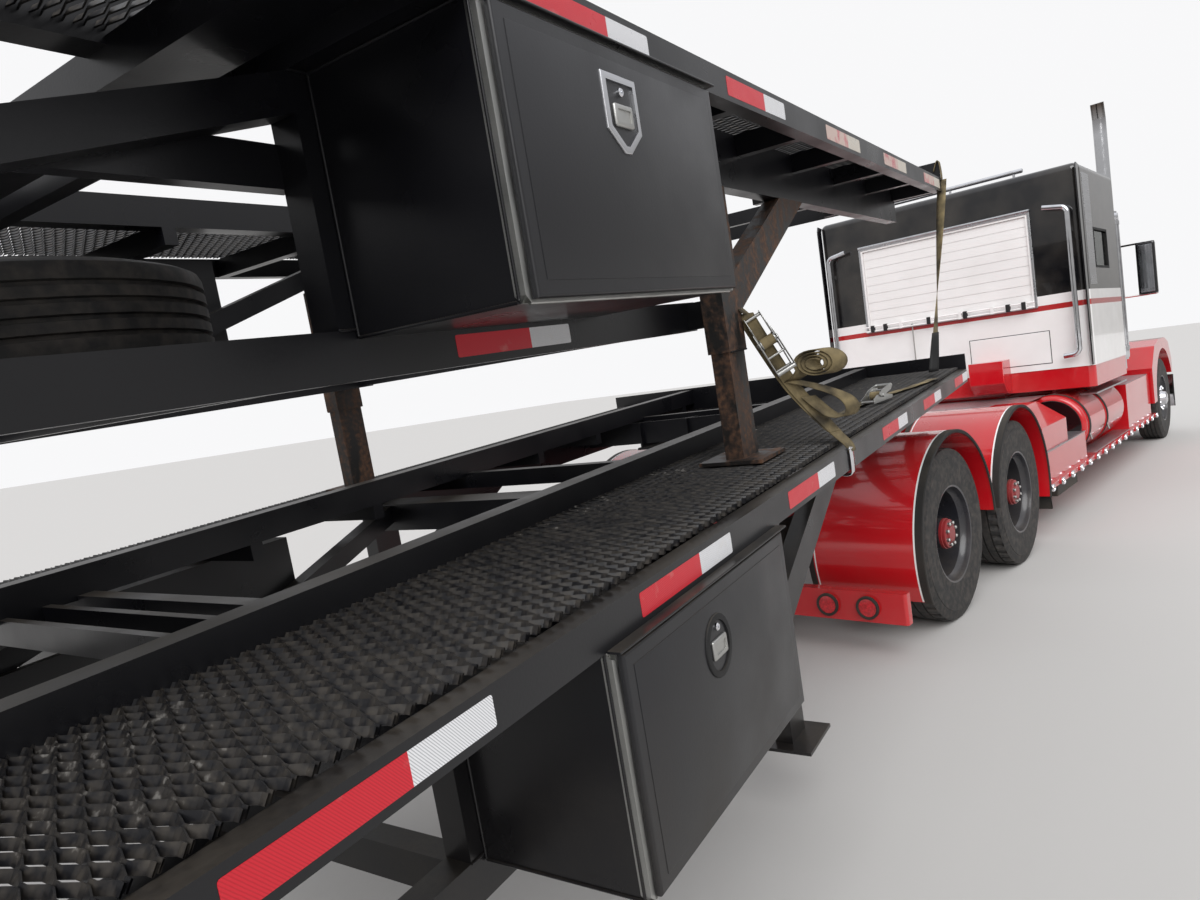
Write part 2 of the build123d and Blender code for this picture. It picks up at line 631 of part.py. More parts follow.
def screen_strip(depth0, depth1, low, high):
    """Outline of a strip in the sloping screen wall, between two depths."""
    dx, dz = SCREEN_TOP_X - COWL_X, SCREEN_TOP_Z - COWL_Z
    length = math.hypot(dx, dz)
    ux, uz = dx / length, dz / length
    corners = ((low, depth0), (length - high, depth0), (length - high, depth1), (low, depth1))
    return tuple((COWL_X + ux * s - uz * d, COWL_Z + uz * s + ux * d) for s, d in corners)


def cab_shell():
    outer = side_plate(cab_outline(0), -CAB_HALF, CAB_HALF)
    inner = side_plate(cab_outline(WALL), -CAB_HALF + WALL, CAB_HALF - WALL)
    shell = outer - inner
    screen = side_plate(screen_strip(-30, WALL + 40, SCREEN_LOW, SCREEN_HIGH), SCREEN_POST, SCREEN_SIDE)
    door = block(DOOR_REAR, DOOR_FRONT, CAB_HALF - WALL - 20, CAB_HALF + 20, DOOR_SILL, DOOR_TOP)
    passage = block(CAB_REAR - 20, CAB_REAR + WALL + 20, -PASS_HALF, PASS_HALF,
                    SLEEPER_FLOOR + WALL, PASS_TOP)
    shell = shell - [screen, mirrored(screen), door, mirrored(door), passage]
    visor = side_plate(
        ((SCREEN_TOP_X - 60, SCREEN_TOP_Z + 40), (SCREEN_TOP_X + 150, SCREEN_TOP_Z - 40),
         (SCREEN_TOP_X + 150, SCREEN_TOP_Z - 30), (SCREEN_TOP_X - 70, SCREEN_TOP_Z + 62)),
        -CAB_HALF + 30, CAB_HALF - 30)
    mount0 = block(CAB_REAR + 100, CAB_REAR + 300, -RAIL_OUTER, RAIL_OUTER, RAIL_TOP, CAB_FLOOR)
    mount1 = block(COWL_X - 300, COWL_X - 100, -RAIL_OUTER, RAIL_OUTER, RAIL_TOP, CAB_FLOOR)
    return joined(shell, visor, mount0, mount1)


GLASS_DEPTH = 14.0
GLASS_THICK = 8.0


def cab_glass():
    """Two screen panes and the sleeper's side windows."""
    pane = side_plate(
        screen_strip(GLASS_DEPTH, GLASS_DEPTH + GLASS_THICK, SCREEN_LOW, SCREEN_HIGH),
        SCREEN_POST, SCREEN_SIDE)
    x0, x1, z0, z1 = PORT
    port = block(x0, x1, SLEEPER_HALF - 24, SLEEPER_HALF - 16, z0, z1)
    return group(both(pane), both(port))


WINDOW = (DOOR_REAR + 120, DOOR_FRONT - 90, COWL_Z + 30, DOOR_TOP - 60)


def cab_door(side):
    """Door skin and frame, flush with the cab side, its window cut."""
    door = block(DOOR_REAR + DOOR_GAP, DOOR_FRONT - DOOR_GAP, CAB_HALF - WALL, CAB_HALF,
                 DOOR_SILL + DOOR_GAP, DOOR_TOP - DOOR_GAP)
    x0, x1, z0, z1 = WINDOW
    door = door - block(x0, x1, CAB_HALF - WALL - 20, CAB_HALF + 20, z0, z1)
    handle = block(DOOR_REAR + 60, DOOR_REAR + 220, CAB_HALF, CAB_HALF + 28, COWL_Z - 110, COWL_Z - 75)
    arm_x = DOOR_FRONT - 115
    arm0 = block(arm_x - 15, arm_x + 15, CAB_HALF, CAB_HALF + 300, COWL_Z - 15, COWL_Z + 5)
    arm1 = block(arm_x - 15, arm_x + 15, CAB_HALF, CAB_HALF + 300, DOOR_TOP - 45, DOOR_TOP - 25)
    head = block(arm_x - 30, arm_x + 30, CAB_HALF + 210, CAB_HALF + 390, COWL_Z - 10, DOOR_TOP - 30)
    head = fillet(head.edges().filter_by(Axis.Z), 20)
    piece = joined(door, handle, arm0, arm1, head)
    return piece if side > 0 else mirrored(piece)


def door_glass(side):
    x0, x1, z0, z1 = WINDOW
    pane = block(x0, x1, CAB_HALF - 24, CAB_HALF - 16, z0, z1)
    return pane if side > 0 else mirrored(pane)


# Cab interior: two seats, the dash and the steering wheel on its column.

SEAT_X = (CAB_REAR + 400, CAB_REAR + 900)
SEAT_RISE = 330.0


def seat(y):
    x0, x1 = SEAT_X
    low, high = CAB_FLOOR + SEAT_RISE, CAB_ROOF - 370
    base = block(x0 + 40, x1 - 60, y - 200, y + 200, CAB_FLOOR + WALL, low)
    cushion = fillet(block(x0, x1, y - 255, y + 255, low, low + 130).edges(), 40)
    back = side_plate(((x0, low + 80), (x0 + 110, low + 80), (x0 + 20, high), (x0 - 70, high)), y - 240,
                      y + 240)
    return joined(base, cushion, back)


def cab_interior():
    dash = side_plate(
        ((COWL_X - WALL, 1300), (COWL_X - WALL, COWL_Z - 30), (COWL_X - 330, COWL_Z - 90),
         (COWL_X - 260, 1500), (COWL_X - 180, 1300)), -CAB_HALF + WALL, CAB_HALF - WALL)
    wheel_x, wheel_y, wheel_z = COWL_X - 400, 520.0, COWL_Z - 150
    lean = 30.0
    place = Pos(wheel_x, wheel_y, wheel_z) * Rot(0, -lean, 0)
    rim = place * Torus(235, 17)
    hub = place * Cylinder(60, 30)
    spokes = [place * Rot(0, 0, turn) * Pos(120, 0, 0) * Box(230, 30, 14) for turn in (90, 210, 330)]
    column = place * Pos(0, 0, -150) * Cylinder(30, 300)
    return group(joined(dash, rim, hub, *spokes, column), seat(520.0), seat(-520.0))


# Roof fittings: lamp bar on the sleeper roof, five lamps and two horns on the cab.

def roof_fittings():
    x, half = SLEEPER_FRONT - 140, SLEEPER_HALF / 2
    bar = block(x - 30, x + 30, -half, half, SLEEPER_TOP + 60, SLEEPER_TOP + 120)
    feet = [block(x - 20, x + 20, y - 20, y + 20, SLEEPER_TOP, SLEEPER_TOP + 60)
            for y in (110 - half, 0, half - 110)]
    roof_bar = joined(bar, *feet)
    lamps = []
    for k in range(5):
        y = -760 + k * 380
        x = SCREEN_TOP_X - 250
        lamps.append(block(x - 60, x + 60, y - 35, y + 35, CAB_ROOF - 30, CAB_ROOF + 40))
    roof = side_plate(cab_outline(0), -CAB_HALF, CAB_HALF)
    lamps = [lamp - roof for lamp in lamps]
    return group(roof_bar, *lamps)


# Nose: tapered hood, front fenders with round wheel arches, and the grille.

HOOD_REAR = COWL_X + 14.0
HOOD_FRONT = GRILLE_X - 110
HOOD_BOTTOM = 1060.0
SHEET = 12.0
ARCH_RADIUS = 640.0
NOSE_FENDER_IN = 620.0
NOSE_FENDER_OUT = 1225.0


def hood_loft(skin, x0, x1):
    """The hood's outer form, or its inner one at a depth of skin."""
    rear = section_face(x0, 800 - skin, 740 - skin, HOOD_BOTTOM, COWL_Z - 35 - skin, 120 - skin / 2)
    front = section_face(x1, 600 - skin, 540 - skin, HOOD_BOTTOM, 1700 - skin, 90 - skin / 2)
    return loft([rear, front])


def nose_fender():
    """Left front fender: crowned top, open arch, straight rear skirt."""
    x, z = STEER_X, TYRE_RADIUS
    crown = z + ARCH_RADIUS + 120
    outline = (
        (x - 830, 530), (x - 830, 960), (x - 560, crown - 60), (x - 240, crown + 10),
        (x + 200, crown + 10), (x + 470, crown - 60), (x + 640, 980), (x + 640, 800), (x + 500, 800),
    )
    body = side_plate(outline + ((x, 560),), NOSE_FENDER_IN, NOSE_FENDER_OUT)
    body = fillet(body.edges().filter_by(Axis.Y).sort_by(Axis.Z)[-4:], 60)
    wheel_space = rod_y(x, z, NOSE_FENDER_IN - 10, NOSE_FENDER_OUT + 10, ARCH_RADIUS)
    low = block(x - ARCH_RADIUS, x + ARCH_RADIUS, NOSE_FENDER_IN - 10, NOSE_FENDER_OUT + 10, 300, z)
    return body - [wheel_space, low]


def hood():
    shell = hood_loft(0, HOOD_REAR, HOOD_FRONT) - hood_loft(SHEET, HOOD_REAR - 5, HOOD_FRONT + 5)
    side = nose_fender()
    core = hood_loft(SHEET, HOOD_REAR - 5, HOOD_FRONT + 5)
    side = side - core
    return joined(shell, side, mirrored(side))


def radiator_grille():
    """Tall surround with upright bars, at the front of the hood."""
    half, top = 610.0, 1715.0
    surround = block(HOOD_FRONT, GRILLE_X, -half, half, GRILLE_BOTTOM, top)
    surround = fillet(surround.edges().filter_by(Axis.X).sort_by(Axis.Z)[-2:], 90)
    mouth = block(HOOD_FRONT - 5, GRILLE_X + 5, -half + 60, half - 60, GRILLE_BOTTOM + 60, top - 60)
    surround = surround - mouth
    bars = []
    count = 15
    pitch = (2 * half - 120) / (count + 1)
    for k in range(1, count + 1):
        y = -half + 60 + k * pitch
        bars.append(block(GRILLE_X - 60, GRILLE_X - 20, y - 8, y + 8, GRILLE_BOTTOM + 55, top - 55))
    return joined(surround, *bars)


def headlamps():
    """A pod of two round lamps on each front fender."""
    x0, x1 = STEER_X + 560, STEER_X + 690
    base = side_plate(
        ((x0 - 60, 1000), (x1 - 20, 1000), (x1 - 20, 1175), (x0 - 60, 1175)), 700, 1130)
    base = base - nose_fender()
    pods = [rod_x(y, 1090, x0, x1, 90) for y in (800.0, 1030.0)]
    pods = [pod - nose_fender() for pod in pods]
    return both(joined(base, *pods))


def front_bumper():
    x0, x1 = GRILLE_X + 50, GRILLE_X + 160
    half = NOSE_FENDER_OUT - 5
    outline = (
        (x0, -half), (x1 - 90, -half), (x1, -half + 260), (x1, half - 260), (x1 - 90, half), (x0, half))
    beam = plan_plate(outline, 330, 760)
    hollow = plan_plate(
        ((x0 - 5, -half + 10), (x1 - 100, -half + 10), (x1 - 10, -half + 265), (x1 - 10, half - 265),
         (x1 - 100, half - 10), (x0 - 5, half - 10)), 320, 770)
    beam = beam - hollow
    stay = block(FRAME_FRONT, x1 - 10, RAIL_OUTER - RAIL_FLANGE, RAIL_OUTER, 480, 700)
    hanger = block(FRAME_FRONT - 60, FRAME_FRONT + 40, RAIL_OUTER, RAIL_OUTER + 20, 480, GRILLE_BOTTOM - 20)
    link = block(FRAME_FRONT, FRAME_FRONT + 40, RAIL_OUTER - RAIL_FLANGE, RAIL_OUTER + 20, 480,
                 RAIL_TOP - 260)
    tow = stay - rod_z(x0 + 40, RAIL_OUTER - 45, 400, 800, 20)
    return joined(beam, tow, mirrored(tow), hanger, mirrored(hanger), link, mirrored(link))


# Trailer.  Its side view is laid out on the sloping deck: u forward from the
# kingpin along the rail top, w square to it.  The upper level repeats the
# front of the lower one, set back and lifted.

SLOPE = math.radians(WEDGE_ANGLE)
LEG_LONG = 150.0
LEG_ACROSS = 80.0


def on_deck(u, w):
    """A point of the lower deck's side view, in x and z."""
    x = u * math.cos(SLOPE) - w * math.sin(SLOPE)
    z = DECK_HEIGHT + u * math.sin(SLOPE) + w * math.cos(SLOPE)
    return (x, z)


def on_upper(u, w):
    """The same for the upper deck, measured from its own rail top."""
    return on_deck(u - UPPER_SETBACK, w + DECK_GAP)


def deck_block(place, u0, u1, v0, v1, w0, w1):
    corners = ((u0, w0), (u1, w0), (u1, w1), (u0, w1))
    return side_plate([place(u, w) for u, w in corners], v0, v1)


def deck_bar(place, a, b, v0, v1, depth):
    """A straight member between two points of the side view."""
    (ua, wa), (ub, wb) = a, b
    length = math.hypot(ub - ua, wb - wa)
    nu, nw = -(wb - wa) / length * depth / 2, (ub - ua) / length * depth / 2
    corners = ((ua + nu, wa + nw), (ub + nu, wb + nw), (ub - nu, wb - nw), (ua - nu, wa - nw))
    return side_plate([place(u, w) for u, w in corners], v0, v1)


def sided(pieces):
    """Left-hand pieces with their right-hand twins."""
    return pieces + [mirrored(piece) for piece in pieces]


def truss_level(place, tail, nose):
    """Rails, ties, neck beams and truss that both levels have in common."""
    chord_top = CHORD_DEPTH - CHORD_DROP
    chord_mid = CHORD_DEPTH / 2 - CHORD_DROP
    head = -RAIL_DEPTH - TRUSS_WIDTH / 2
    half = POST_SIZE / 2
    sides = [
        deck_block(place, tail, nose, MESH_OUT, TRAILER_HALF, -RAIL_DEPTH, 0),
        deck_block(place, tail, nose, RUNWAY_RAIL_IN, RUNWAY_RAIL_OUT, RAIL_FOOT, UPSTAND),
        deck_block(place, LEG_POSITION - 75, nose - 30, LEG_HALF - 30, LEG_HALF + 30, -NECK_DROP,
                   MESH_BOTTOM),
        deck_block(place, POSTS[-1] - half, LEG_POSITION + 30, TRUSS_IN, TRUSS_OUT, -CHORD_DROP, chord_top),
        deck_block(place, POSTS[-1], POSTS[0], TRUSS_IN - 35, TRUSS_IN + 4, -285, -200),
        deck_bar(place, (POSTS[-1], chord_mid), (POST_LAST + 20, head), TRUSS_IN, TRUSS_OUT, TRUSS_WIDTH),
    ]
    for u in POSTS:
        sides.append(deck_block(place, u - half, u + half, TRUSS_IN, TRUSS_OUT, 5 - CHORD_DROP,
                                MESH_BOTTOM - 4))
    for u, behind in zip((LEG_POSITION - 60,) + POSTS, POSTS):
        sides.append(deck_bar(place, (u - 10, head), (behind + 20, chord_mid), TRUSS_IN, TRUSS_OUT,
                              TRUSS_WIDTH))
    across = []
    first = int((nose - 60 - POST_FIRST) // TIE_PITCH)
    for k in range(first + 10):
        u = POST_FIRST + (first - k) * TIE_PITCH
        if (first - k) % 3 == 0:
            across.append(deck_block(place, u - 25, u + 25, -MESH_OUT - 5, MESH_OUT + 5, -RAIL_DEPTH,
                                     MESH_BOTTOM))
        else:
            sides.append(deck_block(place, u - 25, u + 25, RUNWAY_RAIL_IN, MESH_OUT + 5, -RAIL_DEPTH,
                                    MESH_BOTTOM))
    channel = deck_block(place, POST_FIRST - 240, POST_FIRST - 100, -MESH_OUT - 5, MESH_OUT + 5,
                         -RAIL_DEPTH, MESH_BOTTOM)
    groove = deck_block(place, POST_FIRST - 215, POST_FIRST - 125, -RUNWAY_RAIL_IN, RUNWAY_RAIL_IN,
                        12 - RAIL_DEPTH, 10)
    across.append(channel - groove)
    for u in POSTS:
        across.append(deck_block(place, u - 32, u + 32, -TRUSS_IN - 5, TRUSS_IN + 5, 4 - CHORD_DROP,
                                 chord_top - 4))
    across.append(deck_block(place, nose - 8, nose, -TRAILER_HALF, TRAILER_HALF, -RAIL_DEPTH, UPSTAND + 12))
    across.append(deck_block(place, LEG_POSITION - 75, LEG_POSITION + 75, -LEG_HALF, LEG_HALF,
                             -NECK_DROP, -RAIL_DEPTH + 5))
    leg_face = LEG_HALF - LEG_ACROSS / 2
    across.append(deck_block(place, LEG_POSITION - 37, LEG_POSITION + 37, -leg_face, leg_face,
                             4 - CHORD_DROP, chord_top - 4))
    return sides, across


REAR_LEVEL_Z = on_deck(WEDGE_END, 0)[1]
REAR_LEVEL_X = on_deck(WEDGE_END, 0)[0]


def tail_strip(w0, w1):
    """Side outline that follows the level and sloping tail, from w0 to w1, mitred to the wedge."""
    drop = REAR_LEVEL_Z - TAIL_HEIGHT
    mitre = math.tan(SLOPE / 2)
    return (
        on_deck(WEDGE_END + 60, w0), on_deck(WEDGE_END + 60, w1),
        (REAR_LEVEL_X - w1 * mitre, REAR_LEVEL_Z + w1), (LEVEL_END, REAR_LEVEL_Z + w1),
        (TRAILER_TAIL, REAR_LEVEL_Z - drop + w1), (TRAILER_TAIL, REAR_LEVEL_Z - drop + w0),
        (LEVEL_END, REAR_LEVEL_Z + w0), (REAR_LEVEL_X - w0 * mitre, REAR_LEVEL_Z + w0),
    )


SPRING_BEAM = (430.0, 500.0)
SPRING_BEAM_BOTTOM = 700.0


def lower_frame():
    sides, across = truss_level(on_deck, WEDGE_END, NOSE_OVERHANG)
    sides.append(side_plate(tail_strip(-RAIL_DEPTH, 0), MESH_OUT, TRAILER_HALF))
    sides.append(side_plate(tail_strip(RAIL_FOOT, UPSTAND), RUNWAY_RAIL_IN, RUNWAY_RAIL_OUT))
    beam0, beam1 = SPRING_BEAM
    sides.append(side_plate(
        ((REAR_LEVEL_X - 200, REAR_LEVEL_Z - RAIL_DEPTH + 5), (LEVEL_END + 200, REAR_LEVEL_Z - RAIL_DEPTH
                                                               + 5),
         (LEVEL_END + 100, REAR_LEVEL_Z - RAIL_DEPTH - 60), (LEVEL_END + 100, SPRING_BEAM_BOTTOM),
         (REAR_LEVEL_X - 400, SPRING_BEAM_BOTTOM), (REAR_LEVEL_X - 200, SPRING_BEAM_BOTTOM + 60)), beam0,
         beam1))
    for x in (REAR_LEVEL_X - 260, -10350, -11000, -11650, -12300, -12950, -13300):
        across.append(block(x - 25, x + 25, -MESH_OUT - 5, MESH_OUT + 5,
                            REAR_LEVEL_Z - RAIL_DEPTH, REAR_LEVEL_Z + MESH_BOTTOM))
    drop = (REAR_LEVEL_Z - TAIL_HEIGHT) / (LEVEL_END - TRAILER_TAIL)
    for x in (-14100.0, -14700.0, -15300.0):
        z = REAR_LEVEL_Z - (LEVEL_END - x) * drop
        across.append(block(x - 25, x + 25, -MESH_OUT - 5, MESH_OUT + 5, z - RAIL_DEPTH + 4,
                            z + MESH_BOTTOM - 6))
    across.append(block(TRAILER_TAIL, TRAILER_TAIL + 80, -TRAILER_HALF, TRAILER_HALF, 470,
                        TAIL_HEIGHT + MESH_BOTTOM))
    plate = block(-760, NOSE_OVERHANG - 20, -560, 560, 1226, 1240)
    webs = [block(-740, NOSE_OVERHANG - 40, y - 6, y + 6, 1236, 1400) for y in (-540, -200, 200, 540)]
    pin = rod_z(0, 0, 1140, 1230, KINGPIN_RADIUS)
    links = [block(x - 8, x + 8, -LEG_HALF, LEG_HALF, 1262, 1400) for x in (-700.0, -350.0, 150.0)]
    return joined(across[0], *across[1:], *sided(sides), plate, pin, *webs, *links)


UPPER_TAIL = -9700.0
REAR_LEG = -9300.0
SPARE_U = POST_FIRST - 350
SPARE_V = -250.0
SPARE_W = CHORD_DEPTH - CHORD_DROP - 4


def upper_frame():
    sides, across = truss_level(on_upper, UPPER_TAIL, UPPER_NOSE)
    across.append(deck_block(on_upper, UPPER_TAIL, UPPER_TAIL + 60, -TRAILER_HALF, TRAILER_HALF,
                             -RAIL_DEPTH - 60, MESH_BOTTOM))
    across.append(deck_block(on_upper, REAR_LEG - 75, REAR_LEG + 75, -MESH_OUT, MESH_OUT, -NECK_DROP,
                             -RAIL_DEPTH + 5))
    across.append(deck_block(on_upper, SPARE_U - 380, SPARE_U - 320, -TRUSS_IN - 5, TRUSS_IN + 5,
                             5 - CHORD_DROP, SPARE_W))
    return joined(across[0], *across[1:], *sided(sides))


def runway_mesh(place, tail, nose):
    return deck_block(place, tail, nose, RUNWAY_RAIL_OUT, MESH_OUT, MESH_BOTTOM, MESH_TOP)


def lower_runways():
    front = runway_mesh(on_deck, WEDGE_END, NOSE_OVERHANG - 8)
    rear = side_plate(tail_strip(MESH_BOTTOM, MESH_TOP), RUNWAY_RAIL_OUT, MESH_OUT)
    return both(joined(front, rear))


def upper_runways():
    return both(runway_mesh(on_upper, UPPER_TAIL, UPPER_NOSE - 8))


# Legs: square outer tube, inner drop tube and a foot plate.

DROP_LONG = 134.0
DROP_ACROSS = 66.0
FOOT = 230.0


def leg(place, u, top, joint, bottom, brace):
    half, inner, foot = LEG_LONG / 2, DROP_LONG / 2, FOOT / 2
    v0, v1 = LEG_HALF - LEG_ACROSS / 2, LEG_HALF + LEG_ACROSS / 2
    w0, w1 = LEG_HALF - DROP_ACROSS / 2, LEG_HALF + DROP_ACROSS / 2
    pieces = [
        deck_block(place, u - half, u + half, v0, v1, joint, top),
        deck_block(place, u - inner, u + inner, w0, w1, bottom, joint + 20),
        deck_block(place, u - foot, u + foot, LEG_HALF - foot, LEG_HALF + foot, bottom, bottom + 12),
    ]
    if brace:
        strut = deck_bar(place, (u + 40, joint + 180), (u + 900, top + 60), LEG_HALF - 34, LEG_HALF + 34,
                         130)
        above = deck_block(place, u, u + 1200, LEG_HALF - 60, LEG_HALF + 60, top, top + 300)
        pieces.append(strut - above)
    return joined(*pieces)


def landing_legs():
    return both(leg(on_deck, LEG_POSITION, -NECK_DROP, -760, -1050, True))


def upper_legs():
    reach = MESH_TOP - DECK_GAP
    front = leg(on_upper, LEG_POSITION, -NECK_DROP, -760, reach, True)
    rear = leg(on_upper, REAR_LEG, -NECK_DROP, -760, reach, False)
    return group(both(front), both(rear))


# Tool boxes under each level: steel box, open at the side, with a hinged door.

BOX_WALL = 5.0
BOX_INNER = TRUSS_OUT
BOX_OUTER = TRAILER_HALF - 4.0
DOOR_THICK = 22.0
DOOR_INSET = 18.0


def toolbox(place):
    top = -RAIL_DEPTH
    outer = deck_block(place, BOX_REAR, BOX_FRONT, BOX_INNER, BOX_OUTER, -BOX_DROP, top)
    inner = deck_block(place, BOX_REAR + BOX_WALL, BOX_FRONT - BOX_WALL, BOX_INNER + BOX_WALL,
                       BOX_OUTER + 5,
                       -BOX_DROP + BOX_WALL, top - BOX_WALL)
    rim = deck_block(place, BOX_REAR, BOX_FRONT, BOX_OUTER - 6, BOX_OUTER, -BOX_DROP, top)
    mouth = deck_block(place, BOX_REAR + 45, BOX_FRONT - 45, BOX_OUTER - 20, BOX_OUTER + 5,
                       -BOX_DROP + 30, top - 30)
    return joined(outer - inner, rim - mouth)


def toolbox_door(place, side):
    """Door plate with a folded edge, in front of the box's rim."""
    y0 = BOX_OUTER + 5
    rear, front = BOX_REAR + DOOR_INSET, BOX_FRONT - DOOR_INSET
    low, high = -BOX_DROP + 4, -RAIL_DEPTH - 10
    plate = deck_block(place, rear, front, y0, y0 + DOOR_THICK, low, high)
    hollow = deck_block(place, rear + 4, front - 4, y0 - 5, y0 + DOOR_THICK - 4, low + 4, high - 4)
    latch_u = (rear + front) / 2 - 45
    latch = deck_block(place, latch_u - 70, latch_u + 70, y0 + 2, y0 + DOOR_THICK + 8, high - 190,
                       high - 40)
    piece = joined(plate - hollow, latch)
    return piece if side > 0 else mirrored(piece)


# Spare wheel, lying on the ties of the upper level.

def spare_wheel():
    outline = tyre_profile(TRAILER_TYRE_WIDTH, TRAILER_TYRE_WIDTH, TRAILER_TYRE_RADIUS, TRAILER_RIM_RADIUS)
    plane = Plane(origin=(0, 0, 0), x_dir=(1, 0, 0), z_dir=(0, -1, 0))
    tyre = revolve(plane * make_face(Polyline(*[(r, w) for w, r in outline], close=True)), axis=Axis.Z)
    barrel = Cylinder(TRAILER_RIM_RADIUS + 2, TRAILER_TYRE_WIDTH - 16) - Cylinder(TRAILER_RIM_RADIUS - 10,
                                                                                  400)
    disc = Pos(0, 0, 40) * (Cylinder(TRAILER_RIM_RADIUS, 12) - Cylinder(85, 50))
    wheel = joined(tyre, Pos(0, 0, TRAILER_TYRE_WIDTH / 2) * barrel, Pos(0, 0, TRAILER_TYRE_WIDTH / 2)
                   * disc)
    x, z = on_upper(SPARE_U, SPARE_W)
    return Pos(x, SPARE_V, z) * Rot(0, -WEDGE_ANGLE, 0) * wheel


# Trailer axles on leaf springs under the two spring beams.

def trailer_axles():
    z = TRAILER_TYRE_RADIUS
    beam0, beam1 = SPRING_BEAM
    inner_face = TRAILER_OUTER_FACE - TRAILER_DUAL_SPACING - TRAILER_TYRE_WIDTH
    pieces = []
    for x in AXLE_POSITIONS:
        tube = rod_y(x, z, -inner_face + 20, inner_face - 20, 64)
        stub = rod_y(x, z, -TRAILER_STUB_END, TRAILER_STUB_END, TRAILER_SPINDLE)
        spring = side_plate(
            ((x - 560, SPRING_BEAM_BOTTOM), (x - 560, SPRING_BEAM_BOTTOM - 70), (x - 90, z + 90),
             (x - 90, z),
             (x + 90, z), (x + 90, z + 90), (x + 560, SPRING_BEAM_BOTTOM - 70),
             (x + 560, SPRING_BEAM_BOTTOM),
             (x + 480, SPRING_BEAM_BOTTOM), (x + 440, SPRING_BEAM_BOTTOM - 90), (x + 100, z + 150),
             (x - 100, z + 150), (x - 440, SPRING_BEAM_BOTTOM - 90), (x - 480, SPRING_BEAM_BOTTOM)),
            beam0, beam1)
        pieces.append(joined(tube, stub, spring, mirrored(spring)))
    return group(*pieces)


# Rear ramps, parked upright on the tail beam, and the tail lamps.

HINGE_X = TRAILER_TAIL - 32.0
HINGE_Z = 600.0
HINGE_RADIUS = 16.0
RAMP_THICK = 60.0
EAR_RADIUS = 25.0


def ramp(side):
    x1 = TRAILER_TAIL - 10.0
    x0 = x1 - RAMP_THICK
    v0, v1 = RUNWAY_RAIL_IN, TRAILER_HALF - 10
    bottom = TAIL_HEIGHT + 5
    outer = block(x0, x1, v0, v1, bottom, bottom + RAMP_LENGTH)
    rungs = 8
    pitch = (RAMP_LENGTH - 60) / rungs
    hollows = [
        block(x0 - 5, x1 + 5, v0 + 50, v1 - 50, bottom + 60 + k * pitch, bottom + k * pitch + pitch)
        for k in range(rungs)
    ]
    ears = []
    for y in (v0 + 40, v1 - 40):
        ears.append(rod_y(HINGE_X, HINGE_Z, y - 12, y + 12, EAR_RADIUS))
        ears.append(block(HINGE_X - EAR_RADIUS, HINGE_X + 18, y - 12, y + 12, HINGE_Z, bottom + 40))
    piece = joined(outer - hollows, *ears)
    piece = piece - rod_y(HINGE_X, HINGE_Z, v0 - 10, v1 + 10, HINGE_RADIUS + RUNNING_FIT)
    return piece if side > 0 else mirrored(piece)


def tail_fittings():
    """Hinge pins and round lamps on the tail beam, with the under-run bar."""
    v0, v1 = RUNWAY_RAIL_IN, TRAILER_HALF - 10
    pieces = []
    for y in (v0 + 40, v1 - 40):
        pieces.append(rod_y(HINGE_X, HINGE_Z, y - 22, y + 22, HINGE_RADIUS))
        for edge in (y - 22, y + 16):
            pieces.append(block(HINGE_X - 16, TRAILER_TAIL, edge, edge + 6, HINGE_Z - 16, HINGE_Z + 16))
    hinges = []
    for k in (0, 1):
        hinges.append(joined(*pieces[3 * k:3 * k + 3]))
    lamps = [rod_x(y, 535, TRAILER_TAIL - 14, TRAILER_TAIL, 48) for y in (900.0, 1060.0)]
    return group(*[both(piece) for piece in hinges + lamps])


TRACTOR_NODES = {
    "tractor_frame": tractor_frame,
    "engine_block": engine_block,
    "fifth_wheel": fifth_wheel,
    "drive_axle_front": lambda: drive_axle(FRONT_DRIVE_X),
    "drive_axle_rear": lambda: drive_axle(0.0),
    "front_axle": front_axle,
    "knuckle_left": lambda: knuckle(1),
    "knuckle_right": lambda: knuckle(-1),
    "steer_wheel_left": lambda: steer_wheel(1),
    "steer_wheel_right": lambda: steer_wheel(-1),
    "drive_wheel_front_left": lambda: dual_wheel(FRONT_DRIVE_X, 1),
    "drive_wheel_front_right": lambda: dual_wheel(FRONT_DRIVE_X, -1),
    "drive_wheel_rear_left": lambda: dual_wheel(0.0, 1),
    "drive_wheel_rear_right": lambda: dual_wheel(0.0, -1),
    "drive_fenders": drive_fenders,
    "tail_bar": tail_bar,
    "fuel_tanks": fuel_tanks,
    "side_steps": side_steps,
    "sleeper_shell": sleeper_shell,
    "sleeper_hatch": sleeper_hatch,
    "standpipes": standpipes,
    "exhaust_stacks": exhaust_stacks,
    "cab_shell": cab_shell,
    "cab_glass": cab_glass,
    "cab_door_left": lambda: cab_door(1),
    "cab_door_right": lambda: cab_door(-1),
    "door_glass_left": lambda: door_glass(1),
    "door_glass_right": lambda: door_glass(-1),
    "cab_interior": cab_interior,
    "roof_fittings": roof_fittings,
    "hood": hood,
    "radiator_grille": radiator_grille,
    "headlamps": headlamps,
    "front_bumper": front_bumper,
}

